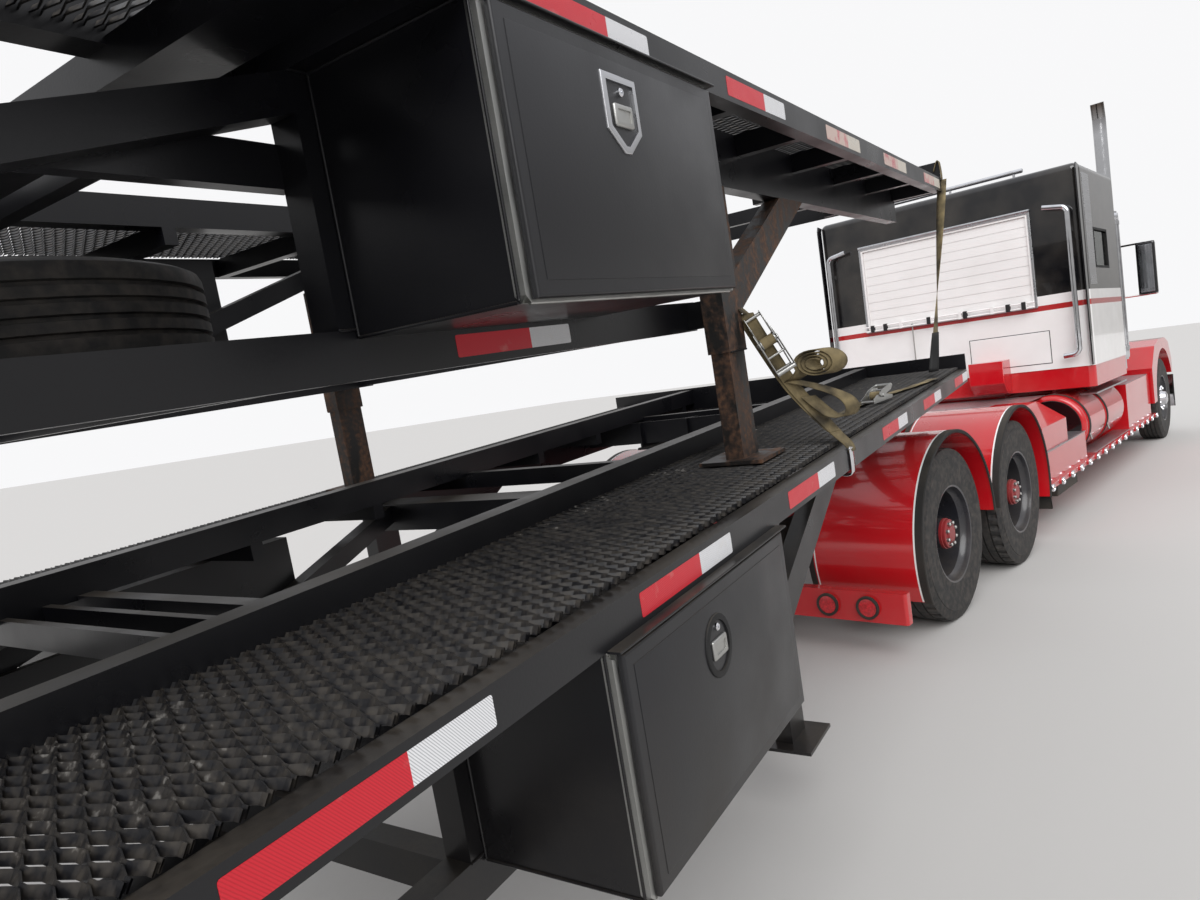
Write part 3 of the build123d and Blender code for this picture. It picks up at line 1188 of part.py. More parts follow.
TRAILER_NODES = {
    "lower_frame": lower_frame,
    "lower_runways": lower_runways,
    "landing_legs": landing_legs,
    "lower_toolboxes": lambda: both(toolbox(on_deck)),
    "lower_box_door_left": lambda: toolbox_door(on_deck, 1),
    "lower_box_door_right": lambda: toolbox_door(on_deck, -1),
    "upper_frame": upper_frame,
    "upper_runways": upper_runways,
    "upper_legs": upper_legs,
    "upper_toolboxes": lambda: both(toolbox(on_upper)),
    "upper_box_door_left": lambda: toolbox_door(on_upper, 1),
    "upper_box_door_right": lambda: toolbox_door(on_upper, -1),
    "spare_wheel": spare_wheel,
    "trailer_axles": trailer_axles,
    "trailer_wheel_front_left": lambda: trailer_wheel(AXLE_POSITIONS[0], 1),
    "trailer_wheel_front_right": lambda: trailer_wheel(AXLE_POSITIONS[0], -1),
    "trailer_wheel_rear_left": lambda: trailer_wheel(AXLE_POSITIONS[1], 1),
    "trailer_wheel_rear_right": lambda: trailer_wheel(AXLE_POSITIONS[1], -1),
    "ramp_left": lambda: ramp(1),
    "ramp_right": lambda: ramp(-1),
    "tail_fittings": tail_fittings,
}

TRAILER_TURN = Rot(0, 0, TRAILER_YAW)

models = {name: make() for name, make in TRACTOR_NODES.items()}
models.update({name: TRAILER_TURN * make() for name, make in TRAILER_NODES.items()})

# The origin is under the middle of the whole rig, on the ground.
boxes = [model.bounding_box() for model in models.values()]
MIDDLE_X = (min(box.min.X for box in boxes) + max(box.max.X for box in boxes)) / 2
MIDDLE_Y = (min(box.min.Y for box in boxes) + max(box.max.Y for box in boxes)) / 2
GROUND = min(box.min.Z for box in boxes)
TO_ORIGIN = Pos(-MIDDLE_X, -MIDDLE_Y, -GROUND)

os.makedirs("parts", exist_ok=True)
for name, model in models.items():
    export_step(TO_ORIGIN * model, "parts/" + name + ".step")
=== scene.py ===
"""Long-nosed sleeper tractor with a two-level car-hauling trailer, dressed over its CAD frame."""
import json
import math

import bmesh
import bpy
from mathutils import Matrix, Vector


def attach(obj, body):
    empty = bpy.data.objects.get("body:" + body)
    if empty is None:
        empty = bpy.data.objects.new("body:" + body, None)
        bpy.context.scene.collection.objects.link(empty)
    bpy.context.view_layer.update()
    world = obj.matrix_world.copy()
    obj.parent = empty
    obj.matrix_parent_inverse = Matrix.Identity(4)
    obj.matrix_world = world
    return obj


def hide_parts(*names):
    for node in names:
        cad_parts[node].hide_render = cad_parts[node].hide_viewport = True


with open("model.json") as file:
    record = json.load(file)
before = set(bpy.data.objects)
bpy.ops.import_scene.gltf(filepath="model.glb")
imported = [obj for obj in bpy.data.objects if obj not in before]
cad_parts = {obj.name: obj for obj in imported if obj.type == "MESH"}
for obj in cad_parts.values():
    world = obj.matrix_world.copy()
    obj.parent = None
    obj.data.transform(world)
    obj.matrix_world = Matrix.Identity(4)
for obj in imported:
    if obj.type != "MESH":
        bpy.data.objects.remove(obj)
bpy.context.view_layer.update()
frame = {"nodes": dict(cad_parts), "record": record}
nodes = frame["nodes"]

# Studio: the photograph's own standpoint, chest high beside the trailer and
# looking forward along it, with a pale floor and an even, soft sky.
camera_data = bpy.data.cameras.new("camera")
camera_data.lens = 24.42
camera_data.sensor_width = 36.0
camera_data.clip_end = 200.0
camera = bpy.data.objects.new("camera", camera_data)
camera.location = (-1.1961, -1.7311, 1.6821)
camera.rotation_euler = [math.radians(a) for a in (85.4147, 7.8967, -47.5146)]
bpy.context.scene.collection.objects.link(camera)
bpy.context.scene.camera = camera
bpy.context.scene.view_settings.view_transform = "Standard"


def colour(code):
    """An sRGB hex code as linear red, green, blue and alpha."""
    values = [int(code[i:i + 2], 16) / 255 for i in (0, 2, 4)]
    return tuple(v / 12.92 if v <= 0.04045 else ((v + 0.055) / 1.055) ** 2.4 for v in values) + (1.0,)


def add(tree, kind, inputs=(), **settings):
    """Adds a node; an input is a number, hex colour, socket, or node, whose first live output it takes."""
    made = tree.nodes.new("ShaderNode" + kind)
    for key, value in settings.items():
        setattr(made, key, value)
    for key, value in dict(inputs).items():
        if isinstance(value, bpy.types.Node):
            value = next(socket for socket in value.outputs if socket.enabled)
        if isinstance(value, bpy.types.NodeSocket):
            tree.links.new(value, made.inputs[key])
        else:
            made.inputs[key].default_value = colour(value) if isinstance(value, str) else value
    return made


world = bpy.data.worlds.new("pale sky")
bpy.context.scene.world = world
world.use_nodes = True
sky = world.node_tree
sky.nodes.clear()
seen = add(sky, "LightPath")
height = add(sky, "SeparateXYZ", {0: add(sky, "TexCoord").outputs["Generated"]})
rise = add(sky, "MapRange", {0: height.outputs["Z"], 1: -0.1, 2: 0.55})
tint = add(sky, "Mix", {0: rise, 6: "8b8883", 7: "fafbff"}, data_type="RGBA")
light = add(sky, "Background", {"Color": tint, "Strength": 0.95})
shown = add(sky, "Background", {"Color": (0.94, 0.94, 0.95, 1.0), "Strength": 1.0})
picked = add(sky, "MixShader", {0: seen.outputs["Is Camera Ray"], 1: light, 2: shown})
add(sky, "OutputWorld", {"Surface": picked})

sun_data = bpy.data.lights.new("soft sun", "SUN")
sun_data.energy = 2.1
sun_data.angle = math.radians(50)
sun = bpy.data.objects.new("soft sun", sun_data)
sun.rotation_euler = [math.radians(a) for a in (28, -45, 0)]
bpy.context.scene.collection.objects.link(sun)

bpy.ops.mesh.primitive_plane_add(size=160, location=(0, 0, 0))
floor = bpy.context.object
floor.name = "floor"
concrete = bpy.data.materials.new("pale floor")
concrete.use_nodes = True
matt = concrete.node_tree.nodes["Principled BSDF"].inputs
matt["Base Color"].default_value = colour("c4c2bf")
matt["Roughness"].default_value = 0.9
floor.data.materials.append(concrete)

# Paints: sprayed enamel, told by its gloss, a slight orange peel and the pale
# road dust that lies on upward faces and hangs low on the sides.


def material(name):
    """A new material with its tree, its surface shader and the place that its patterns read."""
    new = bpy.data.materials.new(name)
    new.use_nodes = True
    tree = new.node_tree
    return new, tree, tree.nodes["Principled BSDF"], add(tree, "TexCoord").outputs["Object"]


def dressed(tree, shader, base, rough, pattern, depth):
    """Joins colour, roughness and a bump of depth metres to a shader."""
    tree.links.new(next(socket for socket in base.outputs if socket.enabled), shader.inputs["Base Color"])
    tree.links.new(rough.outputs[0], shader.inputs["Roughness"])
    bump = add(tree, "Bump", {"Height": pattern, "Strength": 1.0, "Distance": depth})
    tree.links.new(bump.outputs[0], shader.inputs["Normal"])


def paint(name, code, gloss, dust, coat=0.0):
    """Enamel of one colour; gloss is its roughness, dust how much lies on it."""
    new, tree, shader, place = material(name)
    patches = add(tree, "TexNoise", {"Vector": place, "Scale": 4.5, "Detail": 4.0})
    specks = add(tree, "TexNoise", {"Vector": place, "Scale": 80.0, "Detail": 2.0})
    facing = add(tree, "SeparateXYZ", {0: add(tree, "NewGeometry").outputs["Normal"]})
    up = add(tree, "MapRange", {0: facing.outputs["Z"], 1: 0.35, 2: 0.95})
    thin = add(tree, "MapRange", {0: patches, 1: 0.35, 2: 0.7, 3: 0.25, 4: 1.0})
    lying = add(tree, "Math", {0: up, 1: thin}, operation="MULTIPLY")
    level = add(tree, "SeparateXYZ", {0: place})
    low = add(tree, "MapRange", {0: level.outputs["Z"], 1: 1.1, 2: 0.25, 3: 0.0, 4: 0.6})
    hung = add(tree, "Math", {0: low, 1: thin}, operation="MULTIPLY")
    cover = add(tree, "Math", {0: lying, 1: hung}, operation="MAXIMUM")
    grain = add(tree, "MapRange", {0: specks, 1: 0.3, 2: 0.6, 3: 0.7 * dust, 4: dust})
    cover = add(tree, "Math", {0: cover, 1: grain}, operation="MULTIPLY")
    base = add(tree, "Mix", {0: cover, 6: code, 7: "8d8272"}, data_type="RGBA")
    film = add(tree, "MapRange", {0: patches, 1: 0.3, 2: 0.7, 3: gloss * 0.85, 4: gloss * 1.25})
    rough = add(tree, "Math", {0: cover, 1: 0.5, 2: film}, operation="MULTIPLY_ADD")
    shader.inputs["Coat Weight"].default_value = coat
    shader.inputs["Coat Roughness"].default_value = 0.05
    peel = add(tree, "TexNoise", {"Vector": place, "Scale": 160.0, "Detail": 1.0})
    dressed(tree, shader, base, rough, peel, 0.00012)
    return new


red_paint = paint("gloss red enamel", "c40f1c", 0.18, 0.16, 0.9)
red_frame_paint = paint("red chassis enamel", "9a101b", 0.3, 0.4, 0.4)
black_paint = paint("gloss black enamel", "0b0b0f", 0.12, 0.08, 1.0)
frame_paint = paint("satin black paint on welded tube", "0e0e12", 0.3, 0.22)
door_paint = paint("satin charcoal paint on folded sheet", "1c1c1f", 0.36, 0.3)
chassis_paint = paint("matt black chassis paint", "151517", 0.6, 0.5)
engine_paint = paint("grey engine paint", "4d4f52", 0.5, 0.3)
disc_paint = paint("dark enamel on pressed steel discs", "23252d", 0.26, 0.3, 0.3)

# Sleeper and cab enamel in level bands, from the ground up: red, white, a thin
# red line, white again and gloss black.


def banded(name, limits, codes):
    """Gloss enamel in level bands: codes from the ground up, parted at limits."""
    new, tree, shader, place = material(name)
    level = add(tree, "SeparateXYZ", {0: place}).outputs["Z"]
    shade = codes[0]
    for limit, code in zip(limits, codes[1:]):
        above = add(tree, "Math", {0: level, 1: limit}, operation="GREATER_THAN")
        shade = add(tree, "Mix", {0: above, 6: shade, 7: code}, data_type="RGBA")
    wash = add(tree, "TexNoise", {"Vector": place, "Scale": 3.3, "Detail": 4.0})
    film = add(tree, "MapRange", {0: wash, 1: 0.35, 2: 0.75, 3: 0.0, 4: 0.1})
    base = add(tree, "Mix", {0: film, 6: shade, 7: "9a9184"}, data_type="RGBA")
    smear = add(tree, "TexNoise", {"Vector": place, "Scale": 8.0})
    rough = add(tree, "MapRange", {0: smear, 1: 0.3, 2: 0.7, 3: 0.12, 4: 0.2})
    shader.inputs["Coat Weight"].default_value = 0.8
    shader.inputs["Coat Roughness"].default_value = 0.04
    peel = add(tree, "TexNoise", {"Vector": place, "Scale": 160.0, "Detail": 1.0})
    dressed(tree, shader, base, rough, peel, 0.0001)
    return new


BAND_CODES = ("c40f1c", "f3f1f0", "b01019", "f3f1f0", "0b0b0f")
BAND_TOPS = (1.795, 1.845, 1.935)
sleeper_paint = banded("sleeper enamel in bands", (1.236, *BAND_TOPS), BAND_CODES)
cab_paint = banded("cab enamel in bands", (1.3, *BAND_TOPS), BAND_CODES)
white_paint = banded("white enamel", (9.0,), ("f4f2f1", "f4f2f1"))

# Bright metals: chrome that mirrors the yard with faint smears, and brushed
# stainless sheet with its grain along the vehicle.


def bright(name, code, low, high, stretch, depth):
    """Bare metal: roughness from low to high in patches, with a drawn grain."""
    new, tree, shader, place = material(name)
    shader.inputs["Metallic"].default_value = 1.0
    drawn = add(tree, "Mapping", {0: place, "Scale": stretch})
    smear = add(tree, "TexNoise", {"Vector": drawn, "Scale": 12.0, "Detail": 3.0})
    dull = add(tree, "MapRange", {0: smear, 1: 0.45, 2: 0.8, 3: 0.0, 4: 0.35})
    base = add(tree, "Mix", {0: dull, 6: code, 7: "8d8a86"}, data_type="RGBA")
    rough = add(tree, "MapRange", {0: smear, 1: 0.3, 2: 0.7, 3: low, 4: high})
    grain = add(tree, "TexNoise", {"Vector": drawn, "Scale": 500.0, "Detail": 2.0})
    dressed(tree, shader, base, rough, grain, depth)
    return new


chrome = bright("polished chrome", "dfe0e4", 0.03, 0.12, (1, 1, 1), 0.00002)
stainless = bright("brushed stainless sheet", "c6c7ca", 0.22, 0.36, (0.05, 1, 1), 0.00006)
zinc = bright("zinc-plated steel", "b9b9b6", 0.3, 0.5, (1, 1, 1), 0.0001)

# Rusty tube: black paint gone dull, brown rust coming through in streaks down
# it, thin on some faces and thick on others.
rusty_steel, tree, shader, place = material("painted tube gone to rust")
drawn = add(tree, "Mapping", {0: place, "Scale": (1, 1, 0.25)})
streaks = add(tree, "TexNoise", {"Vector": drawn, "Scale": 16.0, "Detail": 5.0})
blots = add(tree, "TexNoise", {"Vector": place, "Scale": 55.0, "Detail": 4.0})
rust = add(tree, "Mix", {0: add(tree, "MapRange", {0: blots, 1: 0.35, 2: 0.7}), 6: "45332a", 7: "6b4c37"},
           data_type="RGBA")
worn = add(tree, "Mix", {0: 0.3, 2: streaks, 3: blots})
bare = add(tree, "MapRange", {0: worn, 1: 0.44, 2: 0.62})
base = add(tree, "Mix", {0: bare, 6: "1b1918", 7: rust}, data_type="RGBA")
rough = add(tree, "MapRange", {0: bare, 3: 0.45, 4: 0.8})
dressed(tree, shader, base, rough, blots, 0.0006)

# Greased casting: near-black grease with brown dust caught in it.
greased, tree, shader, place = material("greased steel casting")
smears = add(tree, "TexNoise", {"Vector": place, "Scale": 20.0, "Detail": 5.0})
caught = add(tree, "MapRange", {0: smears, 1: 0.4, 2: 0.65})
base = add(tree, "Mix", {0: caught, 6: "15120f", 7: "4a4138"}, data_type="RGBA")
rough = add(tree, "MapRange", {0: smears, 1: 0.35, 2: 0.65, 3: 0.25, 4: 0.7})
dressed(tree, shader, base, rough, smears, 0.0015)

# Rubber: dull black with a bloom of grey, tan dust in its grooves and low down.
rubber, tree, shader, place = material("tyre rubber")
bloom = add(tree, "TexNoise", {"Vector": place, "Scale": 11.0, "Detail": 5.0})
skin = add(tree, "Mix", {0: add(tree, "MapRange", {0: bloom, 1: 0.35, 2: 0.7}), 6: "1b1b1c", 7: "323130"},
           data_type="RGBA")
specks = add(tree, "TexNoise", {"Vector": place, "Scale": 33.0, "Detail": 4.0})
dusty = add(tree, "MapRange", {0: specks, 1: 0.4, 2: 0.7, 3: 0.0, 4: 0.5})
base = add(tree, "Mix", {0: dusty, 6: skin, 7: "57504a"}, data_type="RGBA")
rough = add(tree, "MapRange", {0: bloom, 1: 0.3, 2: 0.7, 3: 0.62, 4: 0.85})
grit = add(tree, "TexNoise", {"Vector": place, "Scale": 330.0, "Detail": 2.0})
dressed(tree, shader, base, rough, grit, 0.0003)
soft_rubber = paint("black rubber edging", "121213", 0.7, 0.25)
vinyl = paint("dark grey vinyl", "2c2c30", 0.55, 0.1)

# Glass: clear with a slight grey-green tint, hard and smooth.
glass, tree, shader, place = material("tinted window glass")
shader.inputs["Base Color"].default_value = colour("c3cfcc")
shader.inputs["Transmission Weight"].default_value = 1.0
shader.inputs["IOR"].default_value = 1.45
smear = add(tree, "TexNoise", {"Vector": place, "Scale": 5.0, "Detail": 4.0})
film = add(tree, "MapRange", {0: smear, 1: 0.4, 2: 0.8, 3: 0.0, 4: 0.06})
tree.links.new(film.outputs[0], shader.inputs["Roughness"])


def lens(name, code, clear):
    """A moulded lamp lens with fine ribs inside."""
    new, tree, shader, place = material(name)
    tone = add(tree, "TexNoise", {"Vector": place, "Scale": 80.0})
    base = add(tree, "Mix", {0: add(tree, "MapRange", {0: tone, 1: 0.3, 2: 0.7}), 6: code, 7: clear},
               data_type="RGBA")
    rough = add(tree, "MapRange", {0: tone, 3: 0.08, 4: 0.16})
    shader.inputs["Coat Weight"].default_value = 1.0
    ribs = add(tree, "TexWave", {"Vector": place, "Scale": 40.0, "Distortion": 0.0})
    dressed(tree, shader, base, rough, ribs.outputs["Fac"], 0.0006)
    return new


red_lens = lens("red lamp lens", "a00a14", "d8202c")
amber_lens = lens("amber lamp lens", "b05a06", "e08c1c")
clear_lens = lens("clear lamp lens", "c9ccd0", "eceef0")

finishes = {
    "red_paint": red_paint, "red_frame_paint": red_frame_paint, "white_paint": cab_paint,
    "black_paint": black_paint, "black_frame_paint": frame_paint, "black_door_paint": door_paint,
    "chassis_black": chassis_paint, "engine_paint": engine_paint, "greased_steel": greased,
    "expanded_steel": frame_paint, "rusty_steel": rusty_steel, "chrome": chrome, "stainless": stainless,
    "tyre_rubber": rubber, "glass": glass, "seat_vinyl": vinyl,
}
for row in frame["record"]["subparts"]:
    node_mesh = nodes[row["node"]].data
    node_mesh.materials.clear()
    node_mesh.materials.append(finishes[row["material_slot"]])
nodes["sleeper_shell"].data.materials[0] = sleeper_paint
nodes["sleeper_hatch"].data.materials[0] = white_paint

# Runways: raised expanded steel laid between the rails of both levels.  One
# zigzag ribbon is drawn strand by strand, its mate set half a diamond along,
# and the pair repeated; the crests are rubbed bright and the bonds hold dust.
# Upward faces take a lighter copy of the paint: painted light from above.
PIVOT = Matrix.Translation((3.67784, 1.28225, 0.0))
TRAILER = PIVOT @ Matrix.Rotation(math.radians(9.8), 4, "Z")
SLOPE = math.radians(2.6)
DECK_Z = 1.455
LOWER = TRAILER @ Matrix.Translation((0, 0, DECK_Z)) @ Matrix.Rotation(-SLOPE, 4, "Y")
UPPER = LOWER @ Matrix.Translation((-0.070, 0, 1.160))
DIAMOND = 0.078
ROW = 0.034
WEDGE_END = -9.6
LEVEL_END = -13.4
TAIL_END = -15.9
MESH_IN = 0.680
MESH_OUT = 1.250
TAIL_Z = 0.64
TAIL_RUN = LEVEL_END - TAIL_END


def worn_mesh(name, dark, grime, bare_metal_and_light, shine_at):
    """Black paint on expanded steel with bare metal where tyres rub its crests; the lighter copy for upward
    faces is painted light.
    """
    new, tree, shader, place = material(name)
    patches = add(tree, "TexNoise", {"Vector": place, "Scale": 2.0, "Detail": 4.0})
    fine = add(tree, "TexNoise", {"Vector": place, "Scale": 50.0, "Detail": 3.0})
    dirt = add(tree, "MapRange", {0: fine, 1: 0.38, 2: 0.7})
    base = add(tree, "Mix", {0: dirt, 6: dark, 7: grime}, data_type="RGBA")
    both = add(tree, "Mix", {0: 0.45, 2: patches, 3: fine})
    bare = add(tree, "MapRange", {0: both, 1: shine_at, 2: shine_at + 0.08})
    base = add(tree, "Mix", {0: bare, 6: base, 7: bare_metal_and_light}, data_type="RGBA")
    tree.links.new(add(tree, "MapRange", {0: bare, 4: 0.8}).outputs[0], shader.inputs["Metallic"])
    rough = add(tree, "MapRange", {0: dirt, 3: 0.34, 4: 0.6})
    dressed(tree, shader, base, rough, fine, 0.0002)
    return new


# Lit and shaded copies of one paint: the crest copy, lighter and with brighter bare metal, is painted light
# on upward faces.
strand_paint = worn_mesh("black paint in the diamonds", "0b0b0e", "27231f", "3d3a36", 0.7)
lit_crest_steel = worn_mesh("strand crests rubbed bright and painted lit", "18181b", "3f3a34", "a5a29d", 0.64)


def select_only(obj):
    """Leaves obj alone selected and active, in object mode."""
    bpy.ops.object.select_all(action="DESELECT")
    obj.select_set(True)
    bpy.context.view_layer.objects.active = obj


def pick(obj, keep, mode="FACE"):
    """Selects the faces, edges or vertices of obj for which keep(part) is true."""
    mesh = obj.data
    for group in (mesh.polygons, mesh.edges, mesh.vertices):
        group.foreach_set("select", [False] * len(group))
    for part in {"FACE": mesh.polygons, "EDGE": mesh.edges, "VERT": mesh.vertices}[mode]:
        part.select = bool(keep(part))


def edit(obj, mode="FACE", whole=False):
    """Opens obj for editing, all of it selected if whole, else what pick selected."""
    select_only(obj)
    bpy.ops.object.mode_set(mode="EDIT")
    bpy.ops.mesh.select_mode(type=mode)
    if whole:
        bpy.ops.mesh.select_all(action="SELECT")


def done():
    """Back to object mode."""
    bpy.ops.object.mode_set(mode="OBJECT")


def outward():
    """Turns all faces of the form in hand outward, and goes back to object mode."""
    bpy.ops.mesh.select_all(action="SELECT")
    bpy.ops.mesh.normals_make_consistent(inside=False)
    done()


def smoothed(obj, degrees):
    """Shades obj smooth across edges flatter than the given angle."""
    select_only(obj)
    bpy.ops.object.shade_smooth_by_angle(angle=math.radians(degrees))
    return obj


def walled(obj, thickness, offset=-1.0):
    """Gives a sheet its thickness: inwards, or to both sides with offset 0."""
    select_only(obj)
    wall = obj.modifiers.new("wall", "SOLIDIFY")
    wall.thickness = thickness
    wall.offset = offset
    bpy.ops.object.modifier_apply(modifier=wall.name)


def coated(obj, *coats):
    """Gives obj its finish, or several in the order of its slots."""
    for coat in coats:
        obj.data.materials.append(coat)
    return obj


def at(x, y, z, turn=0.0, axis="Z"):
    """The matrix that turns a piece about an axis, then moves it to a place."""
    return Matrix.Translation((x, y, z)) @ Matrix.Rotation(turn, 4, axis)


def moved(obj, matrix):
    """Moves the mesh of obj by a matrix."""
    obj.data.transform(matrix)
    return obj


def repeated(obj, count, step):
    """Repeats obj count times, each step metres on from the last."""
    select_only(obj)
    array = obj.modifiers.new("row", "ARRAY")
    array.use_relative_offset = False
    array.use_constant_offset = True
    array.constant_offset_displace = step
    array.count = count
    bpy.ops.object.modifier_apply(modifier=array.name)


def trimmed(obj, point, normal):
    """Cuts away what lies beyond a plane, leaving the cut open."""
    edit(obj, whole=True)
    bpy.ops.mesh.bisect(plane_co=point, plane_no=normal, clear_outer=True, use_fill=False)
    done()


def ribbon_pair(name, bond):
    """Two neighbouring ribbons of one diamond's length; bond is the flat at each knuckle."""
    bpy.ops.object.select_all(action="DESELECT")
    bpy.ops.mesh.primitive_plane_add(size=1, location=(0, 0, 0), rotation=(math.radians(90), 0, 0))
    ribbon = bpy.context.object
    ribbon.name = name
    bpy.ops.object.transform_apply(rotation=True)
    corners = ((-0.0055, 0.0054), (-0.0031, 0.0036), (0.0055, 0.0159), (0.0031, 0.0177))
    order = sorted(ribbon.data.vertices, key=lambda v: math.atan2(v.co.z, v.co.x))
    for vertex, (u, w) in zip(order, corners):
        vertex.co = (0.0050 + u, 0.0, w)
    half = DIAMOND / 2
    edit(ribbon, whole=True)
    reach = 0.0100
    steps = [(0, bond, 0), (-reach, half - bond, 0)] if bond else [(-reach, half, 0)]
    steps += [(0, bond, 0), (reach, half - bond, 0)] if bond else [(reach, half, 0)]
    for step in steps:
        bpy.ops.mesh.extrude_region_move(TRANSFORM_OT_translate={"value": step})
    outward()
    pick(ribbon, lambda face: abs(face.normal.y) > 0.9)
    edit(ribbon)
    bpy.ops.mesh.delete(type="ONLY_FACE")
    done()
    coated(ribbon, strand_paint, lit_crest_steel)
    # Upward faces take the lighter copy: painted light from above, besides the rubbed crests.
    for face in ribbon.data.polygons:
        face.material_index = int(face.normal.z > 0.3)
    repeated(ribbon, 2, (ROW / 2, half, 0))
    return ribbon


def mesh_field(name, length, bond):
    """A field of expanded steel, length metres along u from 0 forwards, trimmed to the runway."""
    field = ribbon_pair(name, bond)
    repeated(field, 9, (0, DIAMOND, 0))
    repeated(field, int(length / ROW), (ROW, 0, 0))
    moved(field, at(0, MESH_IN - DIAMOND / 2, 0))
    trimmed(field, (0, MESH_IN, 0), (0, -1, 0))
    trimmed(field, (0, MESH_OUT, 0), (0, 1, 0))
    return field


def placed(obj, matrix, body, *stands_for):
    """Sets a finished piece in its place and hangs it on its body."""
    moved(obj, matrix)
    obj.data.update()
    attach(obj, body)
    if stands_for:
        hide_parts(*stands_for)
    return obj


def copy_of(obj, name):
    """A copy with a mesh of its own."""
    twin = obj.copy()
    twin.data = obj.data.copy()
    twin.name = name
    bpy.context.scene.collection.objects.link(twin)
    return twin


RIGHT = at(0, -MESH_IN - MESH_OUT, 0)
DECKS = (("lower", LOWER, 0.24, "lower_runways"), ("upper", UPPER, 0.14, "upper_runways"))
for level, deck, nose, runways in DECKS:
    fine = mesh_field("%s_runway_mesh_right" % level, nose - WEDGE_END, 0.012 if level == "lower" else 0)
    coarse = mesh_field("%s_runway_mesh_left" % level, nose - WEDGE_END, 0)
    start = at(WEDGE_END, 0, 0)
    placed(fine, deck @ start @ RIGHT, "trailer", runways)
    placed(coarse, deck @ start, "trailer", runways)

level_z = DECK_Z + WEDGE_END * math.sin(SLOPE)
level_x = WEDGE_END * math.cos(SLOPE)
LEVEL = TRAILER @ at(LEVEL_END, 0, level_z)
tail_fall = math.atan2(level_z - TAIL_Z, TAIL_RUN)
tail_length = math.hypot(level_z - TAIL_Z, TAIL_RUN)
TAIL = LEVEL @ Matrix.Rotation(-tail_fall, 4, "Y") @ at(-tail_length, 0, 0)
level_mesh = mesh_field("level_runway_mesh_left", level_x - LEVEL_END, 0)
tail_mesh = mesh_field("tail_runway_mesh_left", tail_length, 0)
for mesh, place, end in ((level_mesh, LEVEL, "level"), (tail_mesh, TAIL, "tail")):
    placed(copy_of(mesh, "%s_runway_mesh_right" % end), place @ RIGHT, "trailer", "lower_runways")
    placed(mesh, place, "trailer", "lower_runways")

# Tyres: moulded rubber on every wheel.  A section is drawn once, with its
# bead, bulged wall, rim guard and grooved tread, and spun about the axle; the
# drive tyres have slots cut across their shoulders.


def drawn(name, points):
    """A line drawn from point to point in edit mode."""
    bpy.ops.object.select_all(action="DESELECT")
    bpy.ops.mesh.primitive_plane_add(size=0.01, location=(0, 0, 0))
    line = bpy.context.object
    line.name = name
    edit(line, "VERT", True)
    bpy.ops.mesh.merge(type="CENTER")
    bpy.ops.transform.translate(value=points[0])
    for here, there in zip(points, points[1:]):
        step = [b - a for a, b in zip(here, there)]
        bpy.ops.mesh.extrude_region_move(TRANSFORM_OT_translate={"value": step})
    done()
    return line


def spun(name, outline, steps, smooth=35):
    """A form turned about the axle (Y) from (distance out, radius) points."""
    form = drawn(name, [(radius, out, 0) for out, radius in outline])
    edit(form, "VERT", True)
    bpy.ops.mesh.spin(steps=steps, angle=2 * math.pi, center=(0, 0, 0), axis=(0, 1, 0))
    bpy.ops.mesh.select_all(action="SELECT")
    bpy.ops.mesh.remove_doubles(threshold=0.00002)
    outward()
    return smoothed(form, smooth)


def tyre_section(width, radius, rim, grooves):
    """Half a tyre's outline from the bead to the tread, then its mirror image."""
    wall = (radius - rim) / 2
    half = [(-0.024, rim - 0.004), (-0.010, rim), (-0.005, rim + 0.014), (-0.008, rim + 0.030),
            (-0.002, rim + wall * 0.75), (0.0, rim + wall), (-0.001, rim + wall * 1.25),
            (-0.001, radius - 0.062), (-0.005, radius - 0.058), (-0.006, radius - 0.044),
            (-0.010, radius - 0.036), (-0.013, radius - 0.020), (-0.020, radius - 0.006),
            (-0.032, radius - 0.001)]
    ribs = grooves + 1
    rib = (width - 0.064 - grooves * 0.011) / ribs
    tread = []
    out = -0.032
    for groove in range(grooves):
        out -= rib
        crown = radius if groove < grooves else radius - 0.001
        tread += [(out, crown), (out - 0.002, crown - 0.012), (out - 0.009, crown - 0.012),
                  (out - 0.011, crown)]
        out -= 0.011
    return half + tread + [(-width - y, r) for y, r in reversed(half)]


def slotted(tyre, steps):
    """Cuts slots across the shoulders of a truck tyre at every third step."""
    width, radius, _ = TRUCK_TYRE

    def shoulder(face):
        out = face.center.y
        turn = math.atan2(face.center.z, face.center.x) / (2 * math.pi) * steps
        at_side = out > -0.075 or out < -width + 0.075
        on_tread = math.hypot(face.center.x, face.center.z) > radius - 0.012
        return at_side and on_tread and int(turn + steps) % 3 == 0
    pick(tyre, shoulder)
    edit(tyre)
    bpy.ops.mesh.inset(thickness=0.0, depth=-0.010, use_even_offset=False)
    done()


AXLE_Z = 0.515
TANDEM = 1.320
STEER_X = 7.770
TRAILER_AXLE_Z = 0.398
TRAILER_AXLES = (-11.0, -12.3)
TRUCK_TYRE = (0.270, AXLE_Z, 0.286)
TRAILER_TYRE = (0.205, TRAILER_AXLE_Z, 0.222)
drive_tyre = spun("drive_tyre", tyre_section(*TRUCK_TYRE, 3), 120)
slotted(drive_tyre, 120)
steer_tyre = spun("steer_tyre", tyre_section(*TRUCK_TYRE, 4), 96)
trailer_tyre = spun("trailer_tyre", tyre_section(*TRAILER_TYRE, 4), 84)
for tyre in (drive_tyre, steer_tyre, trailer_tyre):
    coated(tyre, rubber)

# Disc wheels: pressed steel, the rim rolled and the disc welded in it, with
# hand holes round it and ten nuts; the hub comes through and carries a cap.


